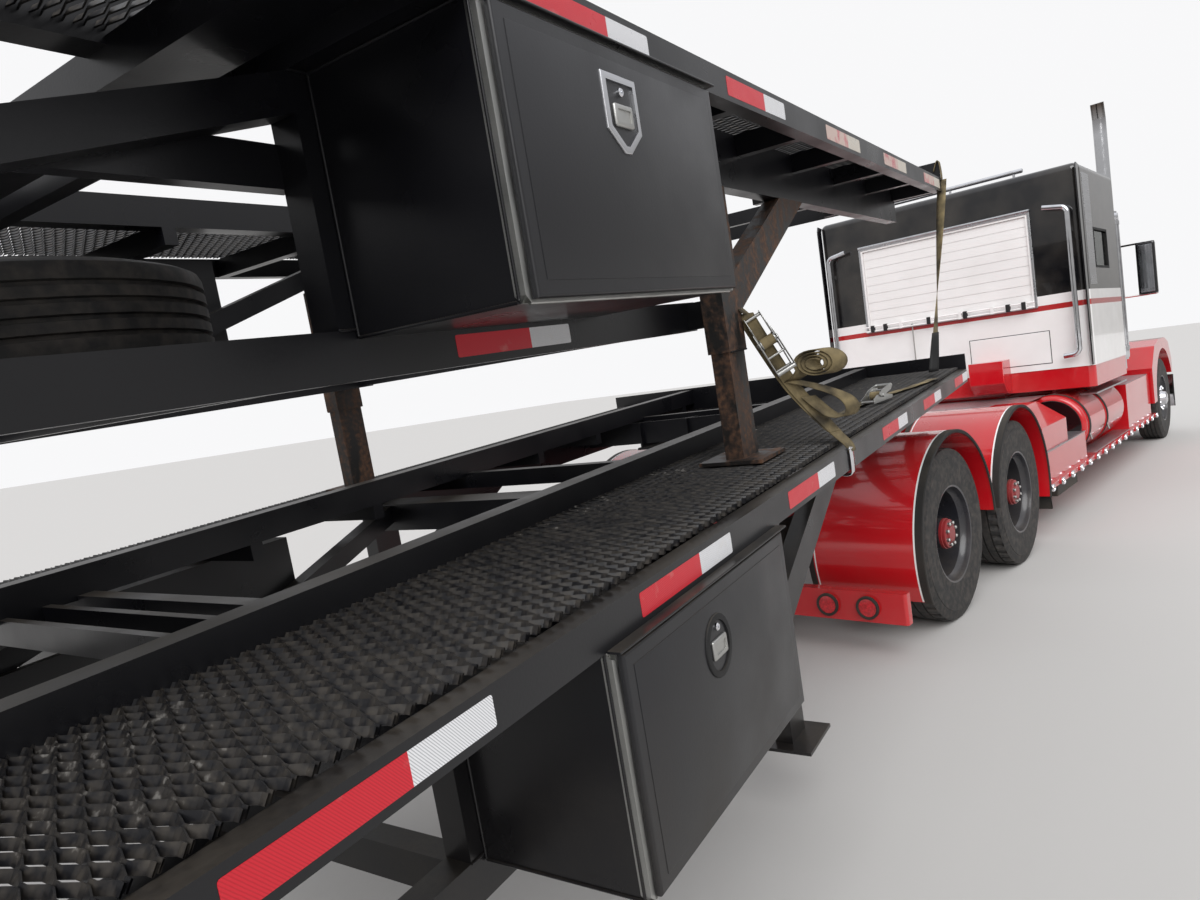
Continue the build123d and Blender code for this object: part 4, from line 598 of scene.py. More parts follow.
def disc_wheel(name, rim, width, dish, bolt, hole):
    """A rim from 0 inwards to -width, its disc dish deep behind the outer flange."""
    wheel = spun(name, [
        (-0.004, rim + 0.012), (0.0, rim + 0.006), (-0.003, rim - 0.006), (-0.022, rim - 0.010),
        (-0.040, rim - 0.012), (-0.060, rim - 0.028), (-width + 0.060, rim - 0.028),
        (-width + 0.040, rim - 0.012), (-width + 0.022, rim - 0.010), (-width + 0.003, rim - 0.006),
        (-width, rim + 0.006), (-width + 0.004, rim + 0.012)], 80)
    pan = spun(name + "_disc", [
        (-dish + 0.026, rim - 0.030), (-dish + 0.010, rim - 0.034), (-dish - 0.004, rim - 0.046),
        (-dish + 0.008, rim - 0.058), (-dish + 0.016, rim - 0.092), (-dish + 0.008, rim - 0.108),
        (-dish, bolt + 0.028), (-dish, bolt - 0.030)], 80)
    low, high, count = hole

    def opening(face):
        turn = math.atan2(face.center.z, face.center.x) / (2 * math.pi) * count
        away = math.hypot(face.center.x, face.center.z)
        return low < away < high and abs(turn - round(turn)) < 0.26
    pick(pan, opening)
    edit(pan)
    bpy.ops.mesh.delete(type="FACE")
    done()
    for part, thick in ((wheel, 0.008), (pan, 0.011)):
        walled(part, thick)
        coated(part, disc_paint)
    return united(name, wheel, pan)


def united(name, *parts):
    """Joins parts into the first, under one name."""
    bpy.ops.object.select_all(action="DESELECT")
    for part in parts:
        part.select_set(True)
    bpy.context.view_layer.objects.active = parts[0]
    bpy.ops.object.join()
    parts[0].name = name
    return parts[0]


def ring_of(part, count, radius, out):
    """Sets count copies of part in a circle about the axle, and joins them."""
    ring = []
    for k in range(count):
        turn = 2 * math.pi * (k + 0.5) / count
        twin = copy_of(part, part.name)
        moved(twin, Matrix.Translation((radius * math.cos(turn), out, radius * math.sin(turn))))
        ring.append(twin)
    bpy.data.objects.remove(part)
    return united(ring[0].name, *ring)


def nut(name, radius, length, finish, sides=6):
    """A nut or cover on its stud, standing out along the axle from 0."""
    outline = [(0.0, radius), (length * 0.8, radius * 0.96), (length, radius * 0.6), (length, 0.0)]
    return coated(spun(name, outline, sides, 20), finish)


def hub(name, outline, finish, cap_from, cap):
    """A turned hub: finish over its length, cap beyond cap_from."""
    turned = coated(spun(name, outline, 48), finish, cap)
    for face in turned.data.polygons:
        face.material_index = int(face.center.y > cap_from)
    return turned


TRUCK_RIM = (0.286, 0.254)
TRUCK_BOLTS = 0.1425
TRUCK_HOLES = (0.178, 0.226, 8)
SMALL_RIM = (0.222, 0.190)
SMALL_BOLTS = 0.1125
SMALL_HOLES = (0.140, 0.172, 8)
hub_red = paint("red enamel on hub castings", "8a141d", 0.4, 0.35, 0.2)
flange = ring_of(nut("flange_nut", 0.012, 0.022, zinc), 8, 0.066, 1.198)
drive_hub = hub("drive_hub", [
    (0.935, 0.115), (0.946, 0.138), (0.985, 0.130), (1.005, 0.098), (1.165, 0.092), (1.180, 0.092),
    (1.182, 0.088), (1.198, 0.086), (1.202, 0.080), (1.203, 0.052), (1.214, 0.046), (1.215, 0.0)],
    disc_paint, 1.17, hub_red)
drive_rim = disc_wheel("drive_rim", *TRUCK_RIM, 0.286, TRUCK_BOLTS, TRUCK_HOLES)
drive_nuts = ring_of(nut("drive_nut", 0.020, 0.040, zinc), 10, TRUCK_BOLTS, 0.942)
outer_rim = moved(copy_of(drive_rim, "outer_rim"), at(0, 1.227, 0))
moved(drive_rim, at(0, 0.638, 0, math.pi))
drive_metal = united("drive_metal", drive_rim, outer_rim, drive_hub, drive_nuts, flange)

steer_rim = disc_wheel("steer_rim", *TRUCK_RIM, 0.075, TRUCK_BOLTS, TRUCK_HOLES)
moved(steer_rim, at(0, 1.197, 0))
lug_covers = ring_of(nut("lug_cover", 0.021, 0.062, chrome, 10), 10, TRUCK_BOLTS, 1.128)
steer_hub = hub("steer_hub", [
    (1.075, 0.100), (1.126, 0.118), (1.140, 0.104), (1.205, 0.086), (1.225, 0.080), (1.232, 0.066),
    (1.238, 0.050), (1.240, 0.0)], disc_paint, 1.15, chrome)
steer_metal = united("steer_metal", steer_rim, lug_covers, steer_hub)

trailer_rim = disc_wheel("trailer_rim", *SMALL_RIM, 0.215, SMALL_BOLTS, SMALL_HOLES)
far_rim = copy_of(trailer_rim, "far_rim")
moved(trailer_rim, at(0, 1.222, 0))
moved(far_rim, at(0, 0.788, 0, math.pi))
trailer_nuts = ring_of(nut("trailer_nut", 0.016, 0.034, zinc), 10, SMALL_BOLTS, 1.010)
trailer_hub = hub("trailer_hub", [
    (1.000, 0.095), (1.012, 0.100), (1.060, 0.080), (1.180, 0.070), (1.190, 0.068), (1.198, 0.050),
    (1.200, 0.0)], disc_paint, 1.17, hub_red)
trailer_metal = united("trailer_metal", trailer_rim, far_rim, trailer_nuts, trailer_hub)

DRIVE_SET = (AXLE_Z, drive_tyre, (1.235, 0.900), drive_metal)
TRAILER_SET = (TRAILER_AXLE_Z, trailer_tyre, (1.230, 0.985), trailer_metal)
WHEELS = [("drive_wheel_rear", PIVOT, 0.0, *DRIVE_SET), ("drive_wheel_front", PIVOT, TANDEM, *DRIVE_SET),
          ("steer_wheel", PIVOT, STEER_X, AXLE_Z, steer_tyre, (1.205,), steer_metal),
          ("trailer_wheel_front", TRAILER, TRAILER_AXLES[0], *TRAILER_SET),
          ("trailer_wheel_rear", TRAILER, TRAILER_AXLES[1], *TRAILER_SET)]
for kind, frame_at, x, radius, tyre, faces, metal in WHEELS:
    for side, turn in (("left", 0.0), ("right", math.pi)):
        body = "%s_%s" % (kind, side)
        place = frame_at @ at(x, 0, radius, turn)
        for k, face_at in enumerate(faces):
            rubber_piece = copy_of(tyre, "%s_tyre_%d" % (body, k + 1))
            placed(rubber_piece, place @ at(0, face_at, 0), body, body)
        placed(copy_of(metal, body + "_disc"), place, body, body)
for pattern_piece in (drive_tyre, steer_tyre, drive_metal, steer_metal, trailer_metal):
    bpy.data.objects.remove(pattern_piece)

# Spare wheel: a trailer wheel lying flat on the ties under the upper level,
# dusty, its tread towards the eye.
spare_disc = disc_wheel("spare_wheel_disc", *SMALL_RIM, 0.140, SMALL_BOLTS, SMALL_HOLES)
SPARE_AT = UPPER @ at(-4.480, -0.250, -0.574, math.pi / 2, "X")
placed(trailer_tyre, SPARE_AT @ at(0, 0.205, 0), "trailer", "spare_wheel")
trailer_tyre.name = "spare_wheel_tyre"
placed(spare_disc, SPARE_AT @ at(0, 0.197, 0), "trailer", "spare_wheel")

# Conspicuity tape: retroreflective vinyl stuck on the rails in red and white
# pairs; the sheeting is lined, and the oldest strips have faded and cracked.


def slab(name, low, high):
    """A plain block between two corners, for shaping."""
    bpy.ops.object.select_all(action="DESELECT")
    middle = [(a + b) / 2 for a, b in zip(low, high)]
    size = [b - a for a, b in zip(low, high)]
    bpy.ops.mesh.primitive_cube_add(size=1, location=middle, scale=size)
    bpy.ops.object.transform_apply(location=True, rotation=True, scale=True)
    form = bpy.context.object
    form.name = name
    return form


def below(axis, limit):
    """Chooses the edges with both ends short of limit on an axis."""
    return lambda *ends: all(getattr(end, axis) < limit for end in ends)


def above(axis, limit):
    """Chooses the edges with both ends past limit on an axis."""
    return lambda *ends: all(getattr(end, axis) > limit for end in ends)


def rounded(form, radius, segments, keep=lambda a, b: True):
    """Bevels the edges of form for whose two end points keep is true."""
    points = form.data.vertices
    pick(form, lambda edge: keep(*(points[k].co for k in edge.vertices)), "EDGE")
    edit(form, "EDGE")
    bpy.ops.mesh.bevel(offset=radius, segments=segments, affect="EDGES")
    done()
    return form


def block(name, low, high, finish, radius, segments, keep=lambda a, b: True):
    """A slab with its edges eased, in its finish."""
    return coated(rounded(slab(name, low, high), radius, segments, keep), finish)


def opened(form, across, width):
    """Makes a slab a frame of the given width, open along axis number across."""
    pick(form, lambda face: abs(face.normal[across]) > 0.9)
    edit(form)
    bpy.ops.mesh.inset(thickness=width, use_individual=True)
    bpy.ops.mesh.bridge_edge_loops()
    done()
    return form


def sheeting(name, code, line, faded):
    """Prismatic tape: fine slanting lines 6 mm apart; faded strips crack and pale."""
    new, tree, shader, place = material(name)
    lines = add(tree, "TexWave", {"Vector": place, "Scale": 105.0, "Distortion": 0.4},
                bands_direction="DIAGONAL")
    drawn_lines = add(tree, "MapRange", {0: lines.outputs["Fac"], 1: 0.1, 2: 0.5})
    base = add(tree, "Mix", {0: drawn_lines, 6: line, 7: code}, data_type="RGBA")
    age = add(tree, "TexNoise", {"Vector": place, "Scale": 18.0, "Detail": 5.0})
    worn = add(tree, "MapRange",
               {0: age, 1: 0.62 - faded * 0.3, 2: 0.75 - faded * 0.3, 4: 0.25 + 0.6 * faded})
    base = add(tree, "Mix", {0: worn, 6: base, 7: "cdc3b6"}, data_type="RGBA")
    rough = add(tree, "MapRange", {0: age, 3: 0.2, 4: 0.45})
    dressed(tree, shader, base, rough, lines.outputs["Fac"], 0.00015)
    return new


red_tape = sheeting("red reflective sheeting", "d31d2f", "c01728", 0.0)
white_tape = sheeting("white reflective sheeting", "eeeef0", "b9babd", 0.0)
pale_red_tape = sheeting("red sheeting gone pale", "c9787a", "b96a6c", 0.8)
pale_tape = sheeting("white sheeting gone pale", "d8d2c6", "b7afa3", 0.8)


TAPE_RED = 0.279
TAPE_WHITE = 0.178
TAPE_DEEP = 0.051
TAPE_THICK = 0.0006


def tape_pair(name, *coats):
    """One strip from 0 forwards: red first, then white, its corners rounded."""
    strip = slab(name, (0, -TAPE_THICK, -TAPE_DEEP), (TAPE_RED + TAPE_WHITE, 0, 0))
    edit(strip, whole=True)
    bpy.ops.mesh.bisect(plane_co=(TAPE_RED, 0, 0), plane_no=(1, 0, 0))
    done()
    rounded(strip, 0.005, 3, lambda a, b: abs(a.y - b.y) > 0.0003 and abs(a.x - TAPE_RED) > 0.001)
    for face in strip.data.polygons:
        face.material_index = int(face.center.x > TAPE_RED)
    return coated(strip, *coats)


pair = tape_pair("tape_pair", red_tape, white_tape)
pale_pair = tape_pair("pale_pair", pale_red_tape, pale_tape)
LOWER_TAPES = (-9.44, -8.53, -7.62, -6.71, -5.80, -4.885, -3.967, -3.086, -1.952, -1.117, -0.207)
UPPER_TAPES = (-9.40, -8.49, -7.58, -6.67, -5.76, -4.85, -3.95, -3.05)
OLD_TAPES = (-2.15, -1.28, -0.37)
LEVEL_TAPES = (0.1, 1.0, 1.9, 2.8)
for side, v in (("right", -1.2950), ("left", 1.2956)):
    strips = []
    for deck, starts, piece in ((LOWER, LOWER_TAPES, pair), (UPPER, UPPER_TAPES, pair),
                                (UPPER, OLD_TAPES, pale_pair), (LEVEL, LEVEL_TAPES, pair)):
        strips += [moved(copy_of(piece, "strip"), deck @ at(u, v, -0.015)) for u in starts]
    placed(united("rail_tapes_" + side, *strips), Matrix.Identity(4), "trailer")
for side, v in (("right", -0.8800), ("left", 0.8806)):
    chord = moved(copy_of(pair, "chord_tape_" + side), at(-3.834, v, -0.600))
    patch = coated(slab("chord_patch", (-5.10, v - TAPE_THICK, -0.655), (-4.93, v, -0.600)), white_tape)
    placed(united("chord_tape_" + side, chord, patch), UPPER, "trailer")
bpy.data.objects.remove(pair)
bpy.data.objects.remove(pale_pair)

# Tool boxes: folded sheet doors in satin charcoal, hinged along the foot, over
# a pale rim; a stainless paddle latch above and a round black one below.


def aligned(start, end):
    """The matrix that lays the Y axis from start towards end."""
    along = Vector(end) - Vector(start)
    return Matrix.Translation(start) @ Vector((0, 1, 0)).rotation_difference(along).to_matrix().to_4x4()


def rod(name, start, end, radius, finish, sides=20):
    """A round bar with eased ends between two points."""
    length = (Vector(end) - Vector(start)).length
    ease = radius * 0.25
    bar = spun(name, [(0, 0.0), (0, radius - ease), (ease, radius), (length - ease, radius),
                      (length, radius - ease), (length, 0.0)], sides)
    return coated(moved(bar, aligned(start, end)), finish)


def plate(name, outline, low, high, finish):
    """A flat plate with the given (x, z) outline, from y = low to y = high."""
    form = drawn(name, [(x, low, z) for x, z in outline])
    edit(form, "VERT", True)
    bpy.ops.mesh.edge_face_add()
    bpy.ops.mesh.extrude_region_move(TRANSFORM_OT_translate={"value": (0, high - low, 0)})
    outward()
    return coated(form, finish)


def sunk(form, keep, thickness, depth):
    """Insets the faces for which keep is true and pushes them in by depth."""
    pick(form, keep)
    edit(form)
    bpy.ops.mesh.inset(thickness=thickness)
    bpy.ops.mesh.inset(thickness=0.0005, depth=-depth)
    done()


def other_side(form, name):
    """A copy reflected to the other side of the machine."""
    twin = moved(copy_of(form, name), Matrix.Scale(-1, 4, (0, 1, 0)))
    edit(twin, whole=True)
    bpy.ops.mesh.flip_normals()
    done()
    return twin


def weld(name, start, end, width):
    """A rippled bead of weld metal along a joint."""
    length = (Vector(end) - Vector(start)).length
    count = max(3, int(length / 0.006))
    outline = [(0, 0.0)]
    for k in range(count):
        outline += [(length * (k + 0.35) / count, width), (length * (k + 0.9) / count, width * 0.78)]
    bead = spun(name, outline + [(length, 0.0)], 8, 60)
    return coated(moved(bead, aligned(start, end)), frame_paint)


BOX_U = (-4.110, -3.215)
SEAM_U = BOX_U[0] - 0.001
DOOR_U = (-4.092, -3.233)
DOOR_W = (-0.584, -0.091)
DOOR_FACE = -1.318
LATCH_U = -3.7075

door = slab("box_door", (DOOR_U[0], DOOR_FACE, DOOR_W[0]), (DOOR_U[1], DOOR_FACE + 0.022, DOOR_W[1]))
rounded(door, 0.007, 4, below("y", DOOR_FACE + 0.001))
sunk(door, lambda face: face.normal.y > 0.9, 0.004, 0.016)
panel = slab("box_door_crease", (DOOR_U[0] + 0.03, DOOR_FACE - 0.0015, DOOR_W[0] + 0.03),
             (DOOR_U[1] - 0.03, DOOR_FACE + 0.001, DOOR_W[1] - 0.03))
rounded(panel, 0.001, 2, below("y", DOOR_FACE))
door = smoothed(coated(united("box_door", door, panel), door_paint), 30)

pentagon = ((-0.068, 0.078), (0.068, 0.078), (0.068, -0.034), (0.012, -0.078), (-0.012, -0.078),
            (-0.068, -0.034))
ring = [(0.066 * math.cos(k * math.pi / 12), 0.074 * math.sin(k * math.pi / 12)) for k in range(24)]
LATCH_W = -0.226
latches = {}
for level, outline, finish in (("upper", pentagon, stainless), ("lower", ring, soft_rubber)):
    case = plate("latch_case", [(LATCH_U + x, LATCH_W + z) for x, z in outline],
                 DOOR_FACE - 0.006, DOOR_FACE + 0.012, finish)
    rounded(case, 0.003, 3, below("y", DOOR_FACE - 0.005))
    sunk(case, lambda face: face.normal.y < -0.9 and face.area > 0.004, 0.012, 0.012)
    grip = slab("grip", (LATCH_U - 0.036, DOOR_FACE - 0.009, -0.252),
                (LATCH_U + 0.036, DOOR_FACE + 0.002, -0.206))
    rounded(grip, 0.005, 3)
    sunk(grip, lambda face: face.normal.y < -0.9 and face.area > 0.001, 0.006, 0.003)
    coated(grip, zinc)
    lock = spun("lock", [(0, 0.0), (0, 0.009), (0.008, 0.009), (0.010, 0.007), (0.010, 0.003),
                         (0.007, 0.003), (0.007, 0.0)], 20)
    coated(moved(lock, at(LATCH_U, DOOR_FACE + 0.001, -0.182, math.pi)), chrome)
    latches[level] = smoothed(united(level + "_latch", case, grip, lock), 35)

rim = slab("box_rim", (SEAM_U, -1.2925, -0.589), (BOX_U[1] + 0.001, -1.2905, -0.080))
coated(opened(rim, 1, 0.013), zinc)
drip = plate("drip_rail", ((BOX_U[0], -0.083), (BOX_U[1], -0.083), (BOX_U[1], -0.078), (BOX_U[0], -0.078)),
             -1.326, -1.2955, frame_paint)
rounded(drip, 0.002, 2, below("y", -1.32))
hinge = rod("box_hinge", (DOOR_U[0], DOOR_FACE + 0.023, -0.588), (DOOR_U[1], DOOR_FACE + 0.023, -0.588),
            0.0045, zinc, 12)
seams = [weld("seam", (SEAM_U, v, -0.585), (SEAM_U, v, -0.085), 0.004) for v in (-1.288, -0.883)]
seams += [weld("seam", (SEAM_U, -1.288, w), (SEAM_U, -0.883, w), 0.004) for w in (-0.586, -0.084)]
trim = united("box_trim", rim, drip, hinge, *seams)

for level, deck in (("lower", LOWER), ("upper", UPPER)):
    for side in ("right", "left"):
        names = ["%s_box_%s_%s" % (level, piece, side) for piece in ("door_skin", "latch", "trim")]
        sources = (door, latches[level], trim)
        twins = [copy_of(s, n) if side == "right" else other_side(s, n) for s, n in zip(sources, names)]
        body = "%s_box_door_%s" % (level, side)
        for twin in twins[:2]:
            placed(twin, deck, body, body)
        placed(twins[2], deck, "trailer")
for piece in (door, trim, *latches.values()):
    bpy.data.objects.remove(piece)

# Drive fenders: smooth red skins over the shells, edged with a white line and
# a black rubber lip that curls round the sheet; a thick rubber flap hangs
# before the front pair.
FENDER_STEPS = 72


def arc(section, x, start, end, finish):
    """A closed (out, radius) section swept about a drive wheel, in degrees up from forward."""
    sweep = drawn("arc", [(radius, out, 0) for out, radius in section])
    edit(sweep, "VERT", True)
    bpy.ops.mesh.edge_face_add()
    bpy.ops.mesh.spin(steps=FENDER_STEPS, angle=math.radians(end - start), center=(0, 0, 0), axis=(0, 1, 0))
    done()
    edit(sweep, whole=True)
    bpy.ops.mesh.remove_doubles(threshold=0.00002)
    outward()
    moved(sweep, at(x, 0, AXLE_Z, -math.radians(start), "Y"))
    return smoothed(coated(sweep, finish), 35)


def pair_on(name, obj, body="tractor"):
    """Places a left-hand piece of the tractor and its reflection."""
    placed(other_side(obj, name + "_right"), PIVOT, body)
    obj.name = name + "_left"
    placed(obj, PIVOT, body)


SKIN = ((0.589, 0.604), (0.589, 0.6200), (1.271, 0.6200), (1.271, 0.604))
LIP = ((1.236, 0.6215), (1.276, 0.6215), (1.280, 0.616), (1.278, 0.602), (1.2705, 0.600), (1.2705, 0.6195),
       (1.236, 0.6195))
OUTER_LINE = ((1.226, 0.6195), (1.226, 0.6210), (1.2355, 0.6210), (1.2355, 0.6195))
INNER_LINE = ((0.630, 0.6195), (0.630, 0.6210), (0.638, 0.6210), (0.638, 0.6195))
INNER_BAND = ((0.586, 0.600), (0.586, 0.6215), (0.622, 0.6215), (0.622, 0.6195), (0.5895, 0.6195),
              (0.5895, 0.600))
for end, x, start, stop in (("rear", 0.0, 2, 204), ("front", TANDEM, -14, 178)):
    edging = [arc(SKIN, x, start - 0.3, stop + 0.3, red_paint),
              arc(LIP, x, start - 1, stop + 1, soft_rubber)]
    for section, finish in ((OUTER_LINE, white_paint), (INNER_LINE, white_paint),
                            (INNER_BAND, soft_rubber)):
        edging.append(arc(section, x, start, stop, finish))
    pair_on("fender_skin_" + end, united("edging", *edging))

flap = slab("flap", (1.936, 0.640, 0.255), (1.948, 1.262, 0.560))
edit(flap, whole=True)
bpy.ops.mesh.subdivide(number_cuts=6)
done()
for point in flap.data.vertices:
    point.co.x += 0.35 * (0.56 - point.co.z) ** 2
rounded(flap, 0.003, 2, lambda a, b: abs(a.y - b.y) < 0.001 and abs(a.y - 0.951) > 0.31
        and abs(b.y - 0.951) > 0.31)
coated(flap, soft_rubber)
flap_bar = rod("flap_bar", (1.942, 0.43, 0.575), (1.942, 1.255, 0.575), 0.012, black_paint)
pair_on("front_flap", united("flap", flap, flap_bar))

# Tail bar lamps: flush red lenses, each in a black rubber grommet.


def lamp(name, radius, spot, turn, ring, glass_of, dome=0.004):
    """A round lamp: a grommet or bezel with a ribbed lens, facing along Y before its turn."""
    section = [(-0.004, 0.78), (0.008, 0.78), (0.013, 0.84), (0.014, 0.92), (0.010, 1.0), (-0.004, 1.0),
               (-0.004, 0.78)]
    bezel = spun(name, [(out, radius * share) for out, share in section], 48)
    ribs = [(0.006 + dome * (1 - (k / 8) ** 2) + (0.0008 if k % 2 else 0.0), radius * 0.79 * k / 8)
            for k in range(9)]
    both = united(name, coated(bezel, ring), coated(spun(name + "_lens", ribs, 48), glass_of))
    return moved(both, at(*spot, math.radians(turn)))


lamps = [lamp("tail_lamp", 0.064, (-0.811, y, 0.285), 90, soft_rubber, red_lens) for y in (0.786, 1.022)]
pair_on("tail_bar_lamps", united("lamps", *lamps))

# Tanks and running boards: dark strap bands round the red tanks, bright tread
# plate where the driver climbs, and a row of small round lamps below.
tread_plate, tree, shader, place = material("bright tread plate")
lozenge = add(tree, "TexBrick", {"Vector": place, "Scale": 30.0, "Mortar Size": 0.14, "Brick Width": 0.9,
                                 "Row Height": 0.35})
scuffs = add(tree, "TexNoise", {"Vector": place, "Scale": 26.0, "Detail": 4.0})
base = add(tree, "Mix", {0: scuffs, 6: "8f9093", 7: "c9cacc"}, data_type="RGBA")
rough = add(tree, "MapRange", {0: scuffs, 3: 0.2, 4: 0.45})
dressed(tree, shader, base, rough, lozenge.outputs["Fac"], 0.0008)
shader.inputs["Metallic"].default_value = 0.9

TANK_Y = 0.915
TANK_Z = 0.705
STRAP = ((-0.030, 0.2955), (-0.030, 0.2990), (-0.024, 0.3000), (0.024, 0.3000), (0.030, 0.2990),
         (0.030, 0.2955), (-0.030, 0.2955))
for x in (3.660, 4.400):
    band = coated(moved(spun("band", STRAP, 72), at(x, TANK_Y, TANK_Z, -math.pi / 2)), soft_rubber)
    clamp = rod("clamp", (x, 1.20, 0.62), (x, 1.215, 0.56), 0.009, zinc, 12)
    pair_on("tank_band_%d" % round(x * 1000), united("band", band, clamp))
# Each tank's near end gets a gloss black disc: painted shade standing for the end face in shadow.
end_shade_disc = spun("tank_end", [(0.0, 0.0), (0.0, 0.246), (0.003, 0.250), (0.006, 0.247), (0.006, 0.0)], 72)
pair_on("tank_end", coated(moved(end_shade_disc, at(3.551, TANK_Y, TANK_Z, math.pi / 2)), black_paint))

TREADS = (("tank_tread", (3.98, 1.080, 0.950), (5.40, 1.225, 0.966)),
          ("board_tread", (3.88, 1.030, 0.4055), (5.74, 1.190, 0.4110)),
          ("box_tread", (2.21, 1.050, 0.6555), (3.52, 1.198, 0.6630)),
          ("step_tread", (5.51, 0.700, 0.9005), (6.85, 1.180, 0.9060)))
for name, low, high in TREADS:
    pair_on(name, block(name, low, high, tread_plate, 0.004, 2, above("z", high[2] - 0.001)))
cover = block("deck_plate", (2.96, -0.84, 0.9905), (3.74, 0.84, 0.9985), tread_plate, 0.003, 2,
              above("z", 0.998))
placed(cover, PIVOT, "tractor")

BOARD_LAMPS = 16
lamp_pitch = (7.040 - 2.060 - 0.200) / (BOARD_LAMPS - 1)
row_of = [lamp("board_lamp", 0.030, (2.160 + k * lamp_pitch, 1.2295, 0.385), 0, chrome, amber_lens)
          for k in range(BOARD_LAMPS)]
pair_on("board_lamps", united("lamps", *row_of))
pair_on("under_box", block("under_box", (2.62, 0.98, 0.225), (3.30, 1.150, 0.364), chassis_paint, 0.012, 3))

# Sleeper back: roller-slat door in a bright frame with a hinge rail, dark
# clamps on the rack tubes, a small flush door below and a whip aerial.
SLEEPER_BACK = 3.750
rim = slab("shutter_rim", (SLEEPER_BACK - 0.020, -0.848, 1.832), (SLEEPER_BACK + 0.006, 0.848, 2.738))
rounded(opened(rim, 0, 0.022), 0.003, 2, below("x", SLEEPER_BACK - 0.019))
coated(rim, stainless)
head = rod("head_rail", (SLEEPER_BACK - 0.018, -0.85, 2.745), (SLEEPER_BACK - 0.018, 0.85, 2.745), 0.016,
           stainless)
placed(united("shutter_frame", rim, head), PIVOT, "tractor")

clamps = [block("clamp", (3.672, y - 0.020, 1.832), (3.712, y + 0.020, 1.906), chassis_paint, 0.008, 3)
          for y in (-0.74, -0.60, -0.20, 0.16, 0.62, 0.76)]
placed(united("rack_clamps", *clamps), PIVOT, "tractor")

door = block("access_door", (SLEEPER_BACK - 0.004, -0.92, 1.30), (SLEEPER_BACK + 0.004, -0.20, 1.60),
             sleeper_paint, 0.003, 2, below("x", SLEEPER_BACK))
seal = block("door_seal", (SLEEPER_BACK - 0.001, -0.927, 1.293), (SLEEPER_BACK + 0.002, -0.193, 1.607),
             soft_rubber, 0.001, 1)
placed(united("access_door", seal, door), PIVOT, "tractor")

LOCKER = ((3.519, 1.161), (3.619, 1.058), (3.7485, 1.058), (3.7485, 1.377), (3.519, 1.377))
locker = plate("locker_skin", LOCKER, -0.552, -0.233, red_paint)
rounded(locker, 0.006, 3, below("x", 3.74))
placed(locker, PIVOT, "tractor")

AERIAL = (3.715, 0.345)
whip = []
for low, high, radius, finish, sides in ((1.255, 1.845, 0.006, zinc, 12),
                                         (1.240, 1.300, 0.016, soft_rubber, 16),
                                         (1.838, 1.862, 0.010, soft_rubber, 12)):
    whip.append(rod("whip", (*AERIAL, low), (*AERIAL, high), radius, finish, sides))
bracket = block("bracket", (3.705, 0.330, 1.262), (3.752, 0.360, 1.280), zinc, 0.003, 2)
placed(united("aerial", *whip, bracket), PIVOT, "tractor")

FIN = ((3.765, 1.245), (3.765, 3.02), (3.790, 3.06), (3.700, 3.075), (3.680, 3.02), (3.695, 1.245))
pair_on("rear_fin", rounded(plate("rear_fin", FIN, 1.262, 1.274, black_paint), 0.002, 2))
pair_on("side_sheet", block("side_sheet", (3.86, 1.2745, 1.98), (4.12, 1.2775, 3.00), stainless, 0.002, 2))

bar = rod("roof_bar", (3.92, -0.78, 3.155), (3.92, 0.60, 3.155), 0.022, chrome)
stands = [rod("stand", (3.92, y, 3.085), (3.92, y, 3.155), 0.012, chrome, 12) for y in (-0.70, -0.1, 0.52)]
light = block("roof_light", (3.88, 0.20, 3.165), (3.96, 0.50, 3.215), chassis_paint, 0.012, 3)
placed(united("roof_rail", bar, light, *stands), PIVOT, "tractor")

# Stacks: chromed tube in a pierced heat guard, held to the cab by clamps,
# the tips cut on the slant and blued by heat.
burnt_chrome, tree, shader, place = material("chrome blued by heat")
height = add(tree, "SeparateXYZ", {0: place})
burn = add(tree, "MapRange", {0: height.outputs["Z"], 1: 3.55, 2: 3.84})
soot = add(tree, "TexNoise", {"Vector": place, "Scale": 14.0, "Detail": 4.0})
base = add(tree, "Mix", {0: burn, 6: "d6d7da", 7: "5b524c"}, data_type="RGBA")
rough = add(tree, "MapRange", {0: soot, 1: 0.3, 2: 0.8, 3: 0.05, 4: 0.3})
dressed(tree, shader, base, rough, soot, 0.00003)
shader.inputs["Metallic"].default_value = 1.0

STACK_X = 5.370
STACK_Y = 1.180
HOLE_ROW = 0.0365
rows = [(0.03 + HOLE_ROW * k, 0.096) for k in range(1, 41)]
guard = spun("guard", [(0.0, 0.094), (0.03, 0.096), *rows, (1.52, 0.094)], 48)
pick(guard, lambda face: 0.05 < face.center.y < 1.46 and int((face.center.y - 0.03) / HOLE_ROW) % 2 == 0
     and int((math.atan2(face.center.z, face.center.x) / (2 * math.pi) + 1) * 48) % 3 == 0)
edit(guard)
bpy.ops.mesh.delete(type="FACE")
done()
walled(guard, 0.002)
coated(moved(guard, at(STACK_X, STACK_Y, 1.200, math.pi / 2, "X")), chrome)
STACK_STRAP = ((-0.02, 0.0985), (-0.02, 0.101), (0.02, 0.101), (0.02, 0.0985), (-0.02, 0.0985))
straps = [coated(moved(spun("strap", STACK_STRAP, 48), at(STACK_X, STACK_Y, z, math.pi / 2, "X")), stainless)
          for z in (1.30, 2.62)]
pair_on("stack_guard", united("guard", guard, *straps))
nodes["exhaust_stacks"].data.materials[0] = burnt_chrome

